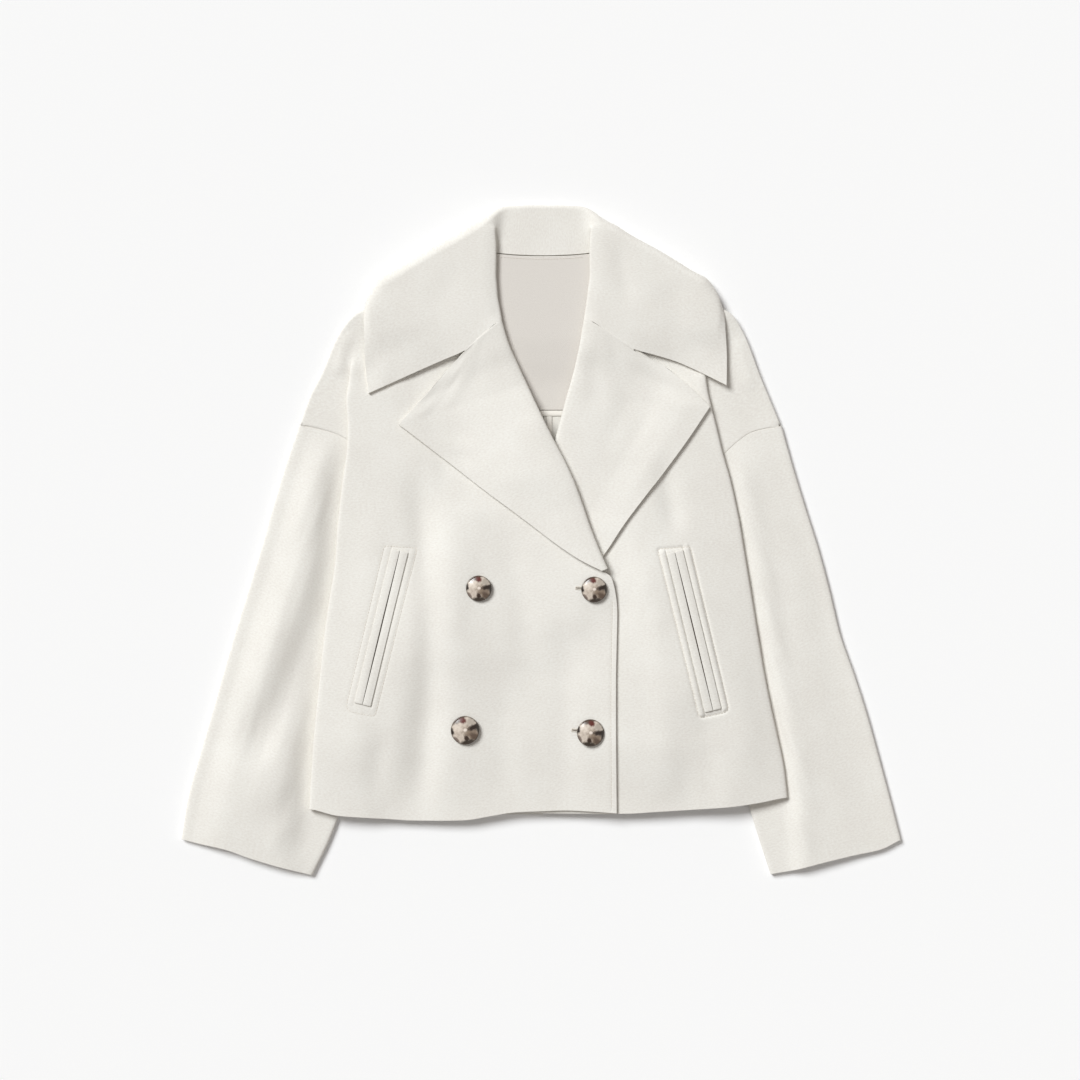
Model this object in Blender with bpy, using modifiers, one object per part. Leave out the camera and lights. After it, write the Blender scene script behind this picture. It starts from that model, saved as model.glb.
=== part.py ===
"""Short double-breasted coat in ivory wool, laid flat with its front up.

Lengths are in millimetres until the meshes are made.  The coat lies in the XY plane with its collar
towards +Y, on a surface at Z = 0, and +X is the wearer's left.  Heights are those of the middle of a wall.
A side is 1 for the wearer's left and -1 for the right.
"""
import math

import bpy
import numpy as np
from mathutils import Vector
from mathutils.bvhtree import BVHTree

MM = 0.001                  # metres in one of this script's millimetres

# Colours, linear
WOOL = (0.80, 0.76, 0.70)
WOOL_INSIDE = (0.66, 0.60, 0.56)
BINDING = (0.78, 0.72, 0.66)
HORN = (0.30, 0.22, 0.14)

# Cloth and the gaps between the pieces
CLOTH_WALL = 2.4            # coat wool with its fusing
DOUBLE_WALL = 3.2           # lapel and collar, two layers of cloth
FACING_WALL = 1.2
BINDING_WALL = 0.8
WELT_WALL = 1.4
SEAM_GAP = 0.4              # between two pieces that meet at a seam
TURN_GAP = 1.4              # the same at the curved seams beside the roll lines
CAP_GAP = 1.0               # between a sleeve and its armhole
LAY_GAP = 0.4               # between a small piece and the panel it lies on

# Heights of the layers, from the surface up
BED = 1.2                   # a panel that lies on the surface
FALL_BED = 1.6              # the back of the collar on the surface
FALL_LIFT = 4.0             # how far the collar's back fall lifts the back panel
LAYER = 3.4                 # from one layer of cloth to the next
FACING_LIFT = 2.6           # how far the neck facing lifts the fronts
FLAP_LEVEL = BED + 2 * LAYER - 0.2
SIDE_LEVEL = FLAP_LEVEL + LAYER - 0.2
LAPEL_STEP = 4.7            # from a front to the lapel turned back on it
LAPEL_SLOPE = 0.1           # how fast a lapel comes down from the collar's level
COLLAR_LEVEL = 14.8         # the collar's leaf, flat over the shoulders
OVER_FRONT = 3.4            # from the lower front to the upper one
OVER_LAPEL = 8.9            # the same where the lower front's lapel lies between them

# Where those heights change, as the start and end of a soft step
FALL_DRAPE = (26.0, 5.0)    # below the fall's edge, over the collar's back fall
FACING_Y = (20.0, 70.0)     # over the lower end of the neck facing and its bindings
FACING_X = (60.0, 105.0)    # beside them, from the centre seam
SIDE_RISE = (-66.0, -4.0)   # from the side seam or the pleat inwards, up over the sleeve
SIDE_RISE_TOP = (-30.0, 34.0)       # the same above and below the top of the side fold
LAP_X = (-62.0, -22.0)      # from the lower front's edge inwards, up over that edge
LAP_TOP_Y = (114.0, 165.0)
LAP_LAPEL_Y = (-165.0, -122.0)      # the lower front's lapel starts between these levels

# Bends and edges
CURL_RADIUS = LAYER / 2     # edges that meet at a shoulder or side seam curl towards each other
CURL_ANGLE = 45.0           # short of a quarter turn, which leaves the gap between them
SEAM_LEVEL = BED + CURL_RADIUS * (1 + math.cos(math.radians(CURL_ANGLE)))
CREASE_WIDTH = 14.0         # above the pleat its fold runs out as a soft step this wide
CREASE_MOST = 0.2           # and no more than this share of a section
STAND_RETURN = 18.0         # cloth between a roll line and the neck or lapel seam under it
RETURN_END = 6.0            # its width where the lapel ends
RETURN_RUN = (6.0, 60.0)    # it narrows to that width over this stretch above the lapel's end, and to 0 below
PLEAT_START = 0.06          # the pleat under a side fold is this deep at its top, as a share of its depth
UNDERARM_TUCK = np.array((4.0, 2.0))        # end of the pleat's under layer past the underarm

# Sizes of the garment as it lies
CENTRE_X = 2.0              # line of the back's centre seam
NECK_SEAM_Y = 294.0
FALL_EDGE_Y = 215.0         # lower edge of the collar's back fall at the centre seam
FALL_EDGE_RISE = 36.0       # how much higher that edge is at the shoulders
FALL_HALF_WIDTH = 176.0
COLLAR_TOP_Y = 345.0        # where the collar folds at the back of the neck
FACING_BOTTOM_Y = 134.0
FACING_HALF_WIDTH = 60.0
FACING_TAPER = 0.35         # how much narrower the facing is at its bottom
BINDING_WIDTH = 5.5
SEAM_BINDING_X = 8.0
SEAM_BINDING_END_Y = 74.0
WELT_WIDTH = 8.6
WELT_GAP = 0.8
SLEEVE_SWELL = 2.2          # how much fuller a sleeve is where it lies free beside the body
SWELL_FROM_FOLD = (8.0, 40.0)
SWELL_FROM_EDGE = (0.0, 34.0)
SWELL_FROM_CAP = (0.0, 0.12)        # as a share of the sleeve's length


def points(*pairs):
    return [np.array(pair, float) for pair in pairs]


# Lines of the coat in plan, (x, y) from the collar down
COAT = {
    1: {
        "roll": points((51, 290), (51.5, 277), (48, 246), (43, 214), (37, 184), (31, 160), (24, 137),
                       (14, 98), (-2, 51), (-28, -6), (-55, -58), (-69, -86)),
        "edge": points((-69, -86), (-72.5, -110), (-73, -200), (-73, -286)),
        "shoulder": points((66, 299), (110, 285), (150, 262), (176, 243.5), (190, 236.5), (200, 231),
                           (207, 218), (214, 204), (225, 174)),
        "shoulder_end": points((225, 174), (236.5, 146), (248, 118)),
        "armhole": points((248, 118), (232, 115), (217, 111), (204, 102), (188, 88), (170, 74), (144, 54),
                          (102, 25)),
        "fold": points((170, 170), (174, 142), (179, 122), (187, 89), (195, 61), (204, 20)),
        "fold_low": points((204, 20), (214, -41), (232, -150), (243, -201), (251, -240), (254, -268)),
        "underarm": np.array((102.0, 25.0)),
        "side_hem": np.array((209.0, -276.0)),
        "sleeve_outer": points((248, 118), (265, 59), (292, -28), (310, -101), (331, -161), (359, -261),
                               (372.5, -313)),
        "sleeve_inner": points((114, 18), (152, -86), (190, -200), (218, -282), (232, -328), (239, -348)),
        "cuff": points((372.5, -313), (354, -322), (326, -328), (290, -336.5), (261, -344), (239, -348)),
        "gorge": np.array((45.0, 227.0)),
        "notch": np.array((95.5, 196.5)),
        "lapel_top": points((95.5, 196.5), (135, 174), (155, 156), (174.5, 137)),
        "lapel_low": points((174.5, 137), (145.5, 94), (120.5, 61), (89, 20), (62.5, -19), (28, -54),
                            (-14, -76), (-66, -90)),
        "leaf_low": points((95.8, 197.2), (136.8, 185), (158, 175.8), (191.5, 159)),
        "hem": points((-73, -284), (84, -285), (163, -280), (211, -276), (254, -268)),
        "slit": points((137.5, -13), (177, -177)),
    },
    -1: {
        "roll": points((-48, 290), (-48.5, 277), (-46.5, 250), (-42, 226), (-37, 207), (-17, 162), (4, 117),
                       (31, 63), (52, 5), (68, -33)),
        "edge": points((68, -33), (76, -46), (78.5, -66), (77, -143), (77, -200), (78, -284)),
        "shoulder": points((-62, 299), (-106, 285), (-146, 262), (-172, 242), (-186, 236), (-197, 230),
                           (-206, 218), (-214, 204), (-226, 175)),
        "shoulder_end": points((-226, 175), (-240, 147), (-250, 119)),
        "armhole": points((-250, 119), (-231, 115), (-216, 110.5), (-201, 103), (-185, 89), (-167, 75),
                          (-141, 54), (-99, 25)),
        "fold": points((-198.5, 176), (-201.5, 143), (-200, 121), (-201, 93), (-206, 55), (-211, 10)),
        "fold_low": points((-211, 10), (-214, -31), (-222, -81), (-230, -153), (-236, -215), (-240, -280)),
        "underarm": np.array((-99.0, 25.0)),
        "side_hem": np.array((-203.0, -286.0)),
        "sleeve_outer": points((-250, 119), (-270, 59), (-291, -14), (-318, -101), (-343, -188),
                               (-367.5, -275), (-373, -312)),
        "sleeve_inner": points((-111, 18), (-149, -88), (-186, -205), (-212, -290), (-227, -325),
                               (-239, -349)),
        "cuff": points((-373, -312), (-359, -315.5), (-327, -322.5), (-303, -331), (-270, -341),
                       (-239, -349)),
        "gorge": np.array((-42.0, 225.0)),
        "notch": np.array((-79.5, 195.0)),
        "lapel_top": points((-79.5, 195), (-148, 118.5)),
        "lapel_low": points((-148, 118.5), (-87, 72), (-52, 45), (-22, 23), (19, -8), (66, -38)),
        "leaf_low": points((-79.9, 195.8), (-130, 173.2), (-179, 150.5)),
        "hem": points((78, -284), (31, -281), (-26, -283), (-52, -287), (-84, -292), (-132, -292),
                      (-211, -287), (-240, -280)),
        "slit": points((-146.5, -12), (-185, -171)),
    },
}

# Sections down to the shoulder point bow with the collar's fall: y at the centre seam
SHOULDER_BASES = (290.0, 272.0, 252.0, 231.0, FALL_EDGE_Y - FALL_DRAPE[1], FALL_EDGE_Y - FALL_DRAPE[0])
# Round the shoulder point they straighten
SHOULDER_POINT = (
    # y on the shoulder line, bow, y on the front's cut edge, y of the back at the centre seam
    (222.0, 0.75, 186.0, 184.0),
    (207.0, 0.45, 182.0, 178.0),
    (191.0, 0.15, 179.0, 171.0),
)
# The back beside the drop of the shoulder: share of the shoulder end's line, y at the centre seam
BACK_SHOULDER_END = ((0.0, 165.0), (0.5, 148.0), (1.0, 130.0))

# The collar's sections from the centre seam round one shoulder, for the wearer's left and mirrored for the
# right: the neck seam, the fold at the roll line, the ridge over the shoulder, the outer edge behind it
COLLAR_BACK = (
    # fold x, seam x, edge x
    (2.0, 2.0, 2.0),
    (24.0, 26.0, 38.0),
    (44.0, 50.0, 80.0),
)
COLLAR_SIDE = (
    # seam y, fold y, ridge x, ridge y, edge x
    (301.0, 325.0, 64.0, 332.5, 108.0),
    (288.0, 306.0, 92.0, 314.0, 130.0),
    (278.0, 290.0, 122.0, 297.5, 148.0),
    (267.0, 274.0, 152.0, 279.0, 165.0),
    (257.0, 260.0, 181.0, 259.5, 177.0),
)
COLLAR_END = (
    # seam y, fold y, share of the leaf's outer edge from its shoulder corner to its tip
    (251.0, 251.0, 0.0),
    (243.0, 243.0, 0.33),
    (236.0, 236.0, 0.67),
)
LEAF_CORNER = np.array((190.0, 243.0))      # where the leaf's outer edge leaves the shoulder
RIDGE_NORMAL = np.array((0.57, 0.82))
LEAF_SHARE = 0.93           # the grid's steps of the ridge and the fall lie beyond this share of a leaf

# Buttons: name, centre x, centre y, diameter
BUTTONS = (
    ("button_upper_right", -64.7, -50.9, 26.5),
    ("button_upper_left", 54.2, -52.0, 26.5),
    ("button_lower_right", -79.0, -197.5, 29.5),
    ("button_lower_left", 50.5, -200.0, 28.0),
)
BUTTON_THICKNESS = 7.0
BUTTON_FOOT = 4.0           # half of the square of cloth that a shank stands on
BUTTON_SIDES = 18
BUTTON_PROFILE = (
    # share of the radius, distance below the top
    (0.0, 0.0),
    (0.45, 0.25),
    (0.78, 1.1),
    (0.95, 2.3),
    (1.0, 3.3),
    (0.93, 4.2),
    (0.50, 4.6),
    (0.24, 5.0),
    (0.22, BUTTON_THICKNESS),
    (0.0, BUTTON_THICKNESS),
)

# Grid steps
TOP_STEPS = 12              # across a front's top layer
FLAP_STEPS = 2
UNDER_STEPS = 3
BEND_STEPS = 3
CURL_STEPS = 2
SHOULDER_END_ROWS = 2
ARMHOLE_ROWS = 8
PLEAT_ROWS = SHOULDER_END_ROWS + ARMHOLE_ROWS
LOWER_ROWS = 9
LOWER_ROW_LEAST = 0.03      # least space between two lower rows, as a share of their length
LAPEL_END_ROWS = (2.0, -7.0)        # rows that follow the front edge where the lapel ends
HEM_POWER = 4               # the hem's bow fades upwards as this power of the way down
BACK_STEPS = 6
SEAM_ROWS = 6
SLEEVE_ROWS = 10
SLEEVE_STEPS = ARMHOLE_ROWS         # the cap and the armhole share their points
LAPEL_ROWS = 12
LAPEL_STEPS = 7
LAPEL_CORNER = 0.25         # share of a lapel's rows that end on its top edge
LAPEL_LEAST = 3.0           # least width of a lapel where it runs out
RETURN_STEPS = 2
STAND_STEPS = 2
LEAF_STEPS = 6
NOTCH_STEP = 2
RIDGE_STEPS = 4
FALL_STEPS = 4
FACING_STEPS = 6
WELT_STEPS = 12


def blend(low, high, value):
    """0 below low, 1 above high, and a smooth step between them."""
    part = min(max((value - low) / (high - low), 0.0), 1.0)
    return part * part * (3.0 - 2.0 * part)


def along(line, share):
    """The point at a share of a line's length, on a smooth curve through the line's points."""
    steps = [np.linalg.norm(b - a) for a, b in zip(line, line[1:])]
    target = min(max(share, 0.0), 1.0) * sum(steps)
    index = 0
    while index < len(steps) - 1 and target > steps[index]:
        target -= steps[index]
        index += 1
    local = min(target / steps[index], 1.0)
    start, end = line[index], line[index + 1]
    before = line[index - 1] if index > 0 else 2 * start - end
    after = line[index + 2] if index + 2 < len(line) else 2 * end - start
    slope_in = (end - before) * steps[index] / (steps[index] + np.linalg.norm(start - before))
    slope_out = (after - start) * steps[index] / (steps[index] + np.linalg.norm(after - end))
    square, cube = local ** 2, local ** 3
    return ((2 * cube - 3 * square + 1) * start + (cube - 2 * square + local) * slope_in
            + (3 * square - 2 * cube) * end + (cube - square) * slope_out)


def normal(line, share, side):
    """The unit normal of a line in plan, pointing to the given side of the coat."""
    reach = 0.02
    step = along(line, min(share + reach, 1.0)) - along(line, max(share - reach, 0.0))
    turned = np.array((-step[1], step[0])) / np.linalg.norm(step)
    return turned if turned[0] * side > 0 else -turned


def x_at(line, y):
    """Where a line that runs down the coat crosses a level y."""
    return float(np.interp(y, [p[1] for p in reversed(line)], [p[0] for p in reversed(line)]))


def y_at(line, x):
    ordered = sorted(tuple(p) for p in line)
    return float(np.interp(x, [p[0] for p in ordered], [p[1] for p in ordered]))


def neck_bow(x):
    """How much higher the neck seam and the collar's fall are out towards the shoulders."""
    return FALL_EDGE_RISE * ((x - CENTRE_X) / FALL_HALF_WIDTH) ** 2


def fall_edge(x):
    """Lower edge of the collar's back fall."""
    return FALL_EDGE_Y + neck_bow(x)


def bowed_y(x, start, end, bow):
    """Place of a section at x between its two ends: straight, or bowed as the collar's fall is."""
    straight = (x - start[0]) / (end[0] - start[0])
    curved = (neck_bow(x) - neck_bow(start[0])) / (neck_bow(end[0]) - neck_bow(start[0]))
    return start[1] + (end[1] - start[1]) * (straight + bow * (curved - straight))


def meet(line, base, bow=1.0):
    """The share of a shoulder line where a section from the centre seam reaches it."""
    low, high = 0.0, 1.0
    halvings = 30
    for _ in range(halvings):
        middle = (low + high) / 2
        x, y = along(line, middle)
        if y > base + bow * neck_bow(x):
            low = middle
        else:
            high = middle
    return low


def back_level(x, y):
    """The back lies on the surface, and over the collar's fall at the neck."""
    edge = fall_edge(x)
    return BED + FALL_LIFT * blend(edge - FALL_DRAPE[0], edge - FALL_DRAPE[1], y)


def front_level(side, x, y):
    """Top layer of a front, lying alone on the back, with its raised side over the sleeve."""
    part = COAT[side]
    apex = part["fold"][0]
    facing = blend(*FACING_Y, y) * (1 - blend(*FACING_X, abs(x - CENTRE_X)))
    plain = back_level(x, y) + LAYER + FACING_LIFT * facing
    reach = side * (x - x_at([apex, part["underarm"], part["side_hem"]], y))
    raised = blend(*SIDE_RISE, reach) * (1 - blend(*SIDE_RISE_TOP, y - apex[1]))
    return plain + (SIDE_LEVEL - plain) * raised


def upper_front_level(x, y):
    """The wearer's right front, which laps over the left one and over its lapel."""
    plain = front_level(-1, x, y)
    edge = x_at(COAT[1]["roll"] + COAT[1]["edge"][1:], y)
    lap = blend(*LAP_X, x - edge) * (1 - blend(*LAP_TOP_Y, y))
    below = front_level(1, x, y) if x > 0 else plain
    lift = OVER_FRONT + (OVER_LAPEL - OVER_FRONT) * blend(*LAP_LAPEL_Y, y)
    return plain + (max(below, plain) + lift - plain) * lap


def level_of(side, x, y):
    return front_level(side, x, y) if side > 0 else upper_front_level(x, y)


def turned_level(side, x, y):
    """A lapel on its front, level with the collar's leaf at the seam between them."""
    gorge, notch = COAT[side]["gorge"], COAT[side]["notch"]
    below = gorge[1] + (notch[1] - gorge[1]) * (x - gorge[0]) / (notch[0] - gorge[0]) - y
    return max(level_of(side, x, y) + LAPEL_STEP, COLLAR_LEVEL - LAPEL_SLOPE * max(below, 0.0))


def material(name, color, roughness, metallic=0.0):
    made = bpy.data.materials.new(name)
    made.use_nodes = True
    shader = made.node_tree.nodes["Principled BSDF"]
    shader.inputs["Base Color"].default_value = (*color, 1.0)
    shader.inputs["Roughness"].default_value = roughness
    shader.inputs["Metallic"].default_value = metallic
    made.diffuse_color = (*color, 1.0)
    return made


def cloth_body(name, rows, wall, color, closed=False):
    """A wall of cloth round a grid of points: one row per section, closed rows for a tube."""
    width = len(rows[0])
    vertices = [tuple(float(c) * MM for c in point) for row in rows for point in row]
    faces = []
    last = width if closed else width - 1
    for r in range(len(rows) - 1):
        for c in range(last):
            right = (c + 1) % width
            faces.append((r * width + c, r * width + right, (r + 1) * width + right, (r + 1) * width + c))
    mesh = bpy.data.meshes.new(name)
    mesh.from_pydata(vertices, [], faces)
    mesh.shade_smooth()
    body = bpy.data.objects.new(name, mesh)
    parts.objects.link(body)
    body.data.materials.append(material(name, color, 0.95))
    shell = body.modifiers.new("wall", "SOLIDIFY")
    shell.thickness = wall * MM
    shell.offset = 0.0
    shell.use_even_offset = False
    shell.use_rim = True
    return body


def arc(base, direction, middle, radius, start, end, count):
    """Points round a bend: base in plan, outward direction, height of its middle, angles from the top."""
    found = []
    for step in range(count + 1):
        angle = math.radians(start + (end - start) * step / count)
        plan = base + direction * radius * math.sin(angle)
        found.append((plan[0], plan[1], middle + radius * math.cos(angle)))
    return found


def straight_steps(start, end, level, count, first=0):
    """Points at one height from a start in plan towards an end, which is left to what follows."""
    found = []
    for step in range(first, count):
        plan = start + (end - start) * step / count
        found.append((plan[0], plan[1], level))
    return found


def return_width(side, y):
    """Width of the cloth turned under at the roll line, which runs out where the lapel ends."""
    end_y = COAT[side]["roll"][-1][1]
    narrow = RETURN_END * blend(end_y - RETURN_RUN[0], end_y, y)
    return narrow + (STAND_RETURN - RETURN_END) * blend(end_y, end_y + RETURN_RUN[1], y)


def front_inner(side, y):
    """The cut edge of a front in plan: its neck, the seam beside the roll line, then the front edge."""
    line = COAT[side]["roll"] + COAT[side]["edge"][1:]
    reach = 5.0
    slope = (x_at(line, y + reach) - x_at(line, y - reach)) / (2 * reach)
    return np.array((x_at(line, y) + side * return_width(side, y) * math.sqrt(1 + slope ** 2), y))


def top_zone(side, inner, fold_base, bow):
    """A front's top layer from its cut edge to its side fold; near the hem it bows with the hem."""
    hem = COAT[side]["hem"]
    row = []
    for step in range(TOP_STEPS):
        share = step / TOP_STEPS
        plan = inner + (fold_base - inner) * share
        chord = hem[0] + (hem[-1] - hem[0]) * share
        plan[1] += bow * (y_at(hem, chord[0]) - chord[1])
        row.append((plan[0], plan[1], level_of(side, plan[0], plan[1])))
    return row


def shoulder_row(side, inner, outer, outward, crease_share, bow):
    """A section above the pleat: one layer, with the soft step where the pleat's fold runs out."""
    last = outer - outward * CURL_RADIUS
    width = last[0] - inner[0]
    crease_steps = 2 * BEND_STEPS + FLAP_STEPS
    crease = min(CREASE_WIDTH / abs(width), CREASE_MOST)
    rest = 1 - crease_share - crease
    shares = [crease_share * step / TOP_STEPS for step in range(TOP_STEPS)]
    shares += [crease_share + crease * step / crease_steps for step in range(crease_steps)]
    shares += [crease_share + crease + rest * step / UNDER_STEPS for step in range(UNDER_STEPS)]
    row = []
    for share in shares:
        x = inner[0] + width * share
        y = bowed_y(x, inner, last, bow)
        low = back_level(x, y) + LAYER
        high = level_of(side, x, y)
        row.append((x, y, high + (low - high) * blend(0, crease, share - crease_share)))
    low = back_level(last[0], last[1]) + LAYER
    return row + arc(last, outward, low - CURL_RADIUS, CURL_RADIUS, 0, CURL_ANGLE, CURL_STEPS)


def pleat_row(side, inner, fold, fold_out, inner_fold, fold_in, outer, outward, curled):
    """A section through the pleat: top layer, side fold, flap, inner fold and the shoulder part under it."""
    bend = (SIDE_LEVEL - FLAP_LEVEL) / 2
    under = (FLAP_LEVEL - BED - LAYER) / 2
    low = FLAP_LEVEL - 2 * under
    fold_base = fold - fold_out * bend
    flap_base = inner_fold - fold_in * under
    last = outer - outward * CURL_RADIUS * curled
    row = top_zone(side, inner, fold_base, 0.0)
    row += arc(fold_base, fold_out, SIDE_LEVEL - bend, bend, 0, 180, BEND_STEPS)
    row += straight_steps(fold_base, flap_base, FLAP_LEVEL, FLAP_STEPS, first=1)
    row += arc(flap_base, fold_in, FLAP_LEVEL - under, under, 0, 180, BEND_STEPS)
    row += straight_steps(flap_base, last, low, UNDER_STEPS, first=1)
    if curled:
        return row + arc(last, outward, low - CURL_RADIUS, CURL_RADIUS, 0, CURL_ANGLE, CURL_STEPS)
    last_stretch = 0.1
    for step in range(CURL_STEPS + 1):
        plan = last + (flap_base - last) * last_stretch * (CURL_STEPS - step) / CURL_STEPS
        row.append((plan[0], plan[1], low))
    return row


def lower_row(side, inner, fold, fold_out, seam, seam_in, bow):
    """A section below the underarm: the flap turns down over the sleeve's edge to the side seam."""
    bend = (SIDE_LEVEL - FLAP_LEVEL) / 2
    turn_level = FLAP_LEVEL - CURL_RADIUS
    fold_base = fold - fold_out * bend
    flap_base = seam - seam_in * CURL_RADIUS
    row = top_zone(side, inner, fold_base, bow)
    row += arc(fold_base, fold_out, SIDE_LEVEL - bend, bend, 0, 180, BEND_STEPS)
    row += straight_steps(fold_base, flap_base, FLAP_LEVEL, FLAP_STEPS, first=1)
    row += arc(flap_base, seam_in, turn_level, CURL_RADIUS, 0, 90, BEND_STEPS)
    steps = UNDER_STEPS + CURL_STEPS
    for step in range(1, steps + 1):
        row.append((seam[0], seam[1], turn_level - (turn_level - SEAM_LEVEL) * step / steps))
    return row


def front_rows(side):
    part = COAT[side]
    apex, underarm = part["fold"][0], part["underarm"]
    crease_start = front_inner(side, apex[1])[0]
    crease_share = (apex[0] - crease_start) / (part["shoulder"][-1][0] - crease_start)
    stations = []
    for base in SHOULDER_BASES:
        stations.append((base + neck_bow(front_inner(side, base)[0]), 1.0, meet(part["shoulder"], base)))
    for shoulder_y, bow, front_y, _ in SHOULDER_POINT:
        stations.append((front_y, bow, meet(part["shoulder"], shoulder_y, 0.0)))
    rows = []
    for y, bow, share in stations:
        outer, outward = along(part["shoulder"], share), normal(part["shoulder"], share, side)
        rows.append(shoulder_row(side, front_inner(side, y), outer, outward, crease_share, bow))
    fold_in = normal([apex, underarm], 0.5, -side)
    for step in range(PLEAT_ROWS + 1):
        share = step / PLEAT_ROWS
        inner = front_inner(side, apex[1] + (underarm[1] - apex[1]) * share)
        inner_fold = apex + (underarm - apex) * (PLEAT_START + (1 - PLEAT_START) * share)
        curled = step <= SHOULDER_END_ROWS
        if curled:
            line, place = part["shoulder_end"], step / SHOULDER_END_ROWS
        else:
            line, place = part["armhole"], (step - SHOULDER_END_ROWS) / ARMHOLE_ROWS
        outer = along(line, place)
        outward = normal(line, place, side) if curled else np.zeros(2)
        if step == PLEAT_ROWS:
            outer = underarm + UNDERARM_TUCK * (side, 1)
        rows.append(pleat_row(side, inner, along(part["fold"], share), normal(part["fold"], share, side),
                              inner_fold, fold_in, outer, outward, curled))
    seam_line = [underarm, part["side_hem"]]
    drop = part["hem"][0][1] - underarm[1]
    lapel_end = part["roll"][-1][1]
    at_lapel_end = [(lapel_end + offset - underarm[1]) / drop for offset in LAPEL_END_ROWS]
    even = [step / LOWER_ROWS for step in range(1, LOWER_ROWS + 1)]
    spaced = [share for share in even if min(abs(share - end) for end in at_lapel_end) > LOWER_ROW_LEAST]
    for share in sorted([LOWER_ROW_LEAST] + at_lapel_end + spaced):
        rows.append(lower_row(side, front_inner(side, underarm[1] + drop * share),
                              along(part["fold_low"], share), normal(part["fold_low"], share, side),
                              along(seam_line, share), normal(seam_line, 0.5, -side), share ** HEM_POWER))
    return rows


def back_rows(side):
    part = COAT[side]
    seam = [part["underarm"], part["side_hem"]]
    centre = CENTRE_X + side * SEAM_GAP / 2
    bases = (NECK_SEAM_Y - SEAM_GAP,) + SHOULDER_BASES[1:]
    above = [(base, 1.0, meet(part["shoulder"], base)) for base in bases]
    for shoulder_y, bow, _, back_y in SHOULDER_POINT:
        above.append((back_y, bow, meet(part["shoulder"], shoulder_y, 0.0)))
    stations = []
    for y, bow, share in above:
        stations.append((y, bow, along(part["shoulder"], share), normal(part["shoulder"], share, side)))
    end_line = part["shoulder_end"]
    for share, y in BACK_SHOULDER_END:
        stations.append((y, 0.0, along(end_line, share), normal(end_line, share, side)))
    top_y, bottom_y = BACK_SHOULDER_END[-1][1], seam[0][1]
    for step in range(1, ARMHOLE_ROWS):
        share = step / ARMHOLE_ROWS
        stations.append((top_y + (bottom_y - top_y) * share, 0.0, along(part["armhole"], share), None))
    for step in range(SEAM_ROWS + 1):
        share = step / SEAM_ROWS
        y = bottom_y + (seam[1][1] - bottom_y) * share
        stations.append((y, 0.0, along(seam, max(share, 0.01)), normal(seam, 0.5, side)))
    rows = []
    for seam_y, bow, outer, outward in stations:
        last = outer if outward is None else outer - outward * CURL_RADIUS
        row = []
        for step in range(BACK_STEPS + 1):
            x = centre + (last[0] - centre) * step / BACK_STEPS
            y = bowed_y(x, (centre, seam_y), last, bow)
            row.append((x, y, back_level(x, y)))
        level = row[-1][2]
        if outward is None:
            edge_step = 0.1
            row += [(last[0] + side * edge_step * step, last[1], level) for step in range(1, CURL_STEPS + 1)]
        else:
            row += arc(last, outward, level + CURL_RADIUS, CURL_RADIUS, 180, 180 - CURL_ANGLE, CURL_STEPS)[1:]
        rows.append(row)
    return rows


def sleeve_rows(side):
    """Sections of a sleeve from its cap, which follows the armhole, to its cuff."""
    part = COAT[side]
    fold = part["fold"] + part["fold_low"][1:]
    inner_line, outer_line = part["sleeve_inner"], part["sleeve_outer"]
    armhole, cuff = part["armhole"], part["cuff"]
    low, high = BED, BED + LAYER
    bend = (high - low) / 2
    tuck_power, cap_power, cuff_power = 4, 2, 3     # how fast the shapes of the ends fade
    rows = []
    for station in range(SLEEVE_ROWS + 1):
        share = station / SLEEVE_ROWS
        inner, outer = along(inner_line, share), along(outer_line, share)
        across = (outer - inner) / np.linalg.norm(outer - inner)
        down = np.array((across[1], -across[0])) * side
        gap = down * CAP_GAP if station == 0 else np.zeros(2)
        upper, lower = [], []
        for step in range(SLEEVE_STEPS + 1):
            place = step / SLEEVE_STEPS
            head = along(armhole, 1 - place) + (inner_line[0] - armhole[-1]) * (1 - place) ** tuck_power
            cap = head - inner_line[0] - (outer_line[0] - inner_line[0]) * place
            end = along(cuff, 1 - place) - (cuff[-1] + (cuff[0] - cuff[-1]) * place)
            plan = inner + (outer - inner) * place + gap + across * bend * (1 - 2 * place)
            plan = plan + cap * (1 - share) ** cap_power + end * share ** cuff_power
            free = side * (plan[0] - x_at(fold, plan[1]))
            edge = np.linalg.norm(outer - inner) * (1 - place)
            swell = SLEEVE_SWELL * blend(*SWELL_FROM_FOLD, free) * blend(*SWELL_FROM_EDGE, edge)
            upper.append((plan[0], plan[1], high + swell * blend(*SWELL_FROM_CAP, share)))
            lower.append((plan[0], plan[1], low))
        row = upper[:-1]
        row += arc(np.array(upper[-1][:2]), across, low + bend, bend, 0, 180, BEND_STEPS)
        row += list(reversed(lower))[1:-1]
        row += arc(np.array(upper[0][:2]), -across, low + bend, bend, 180, 0, BEND_STEPS)[:-1]
        rows.append(row)
    return rows


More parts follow.
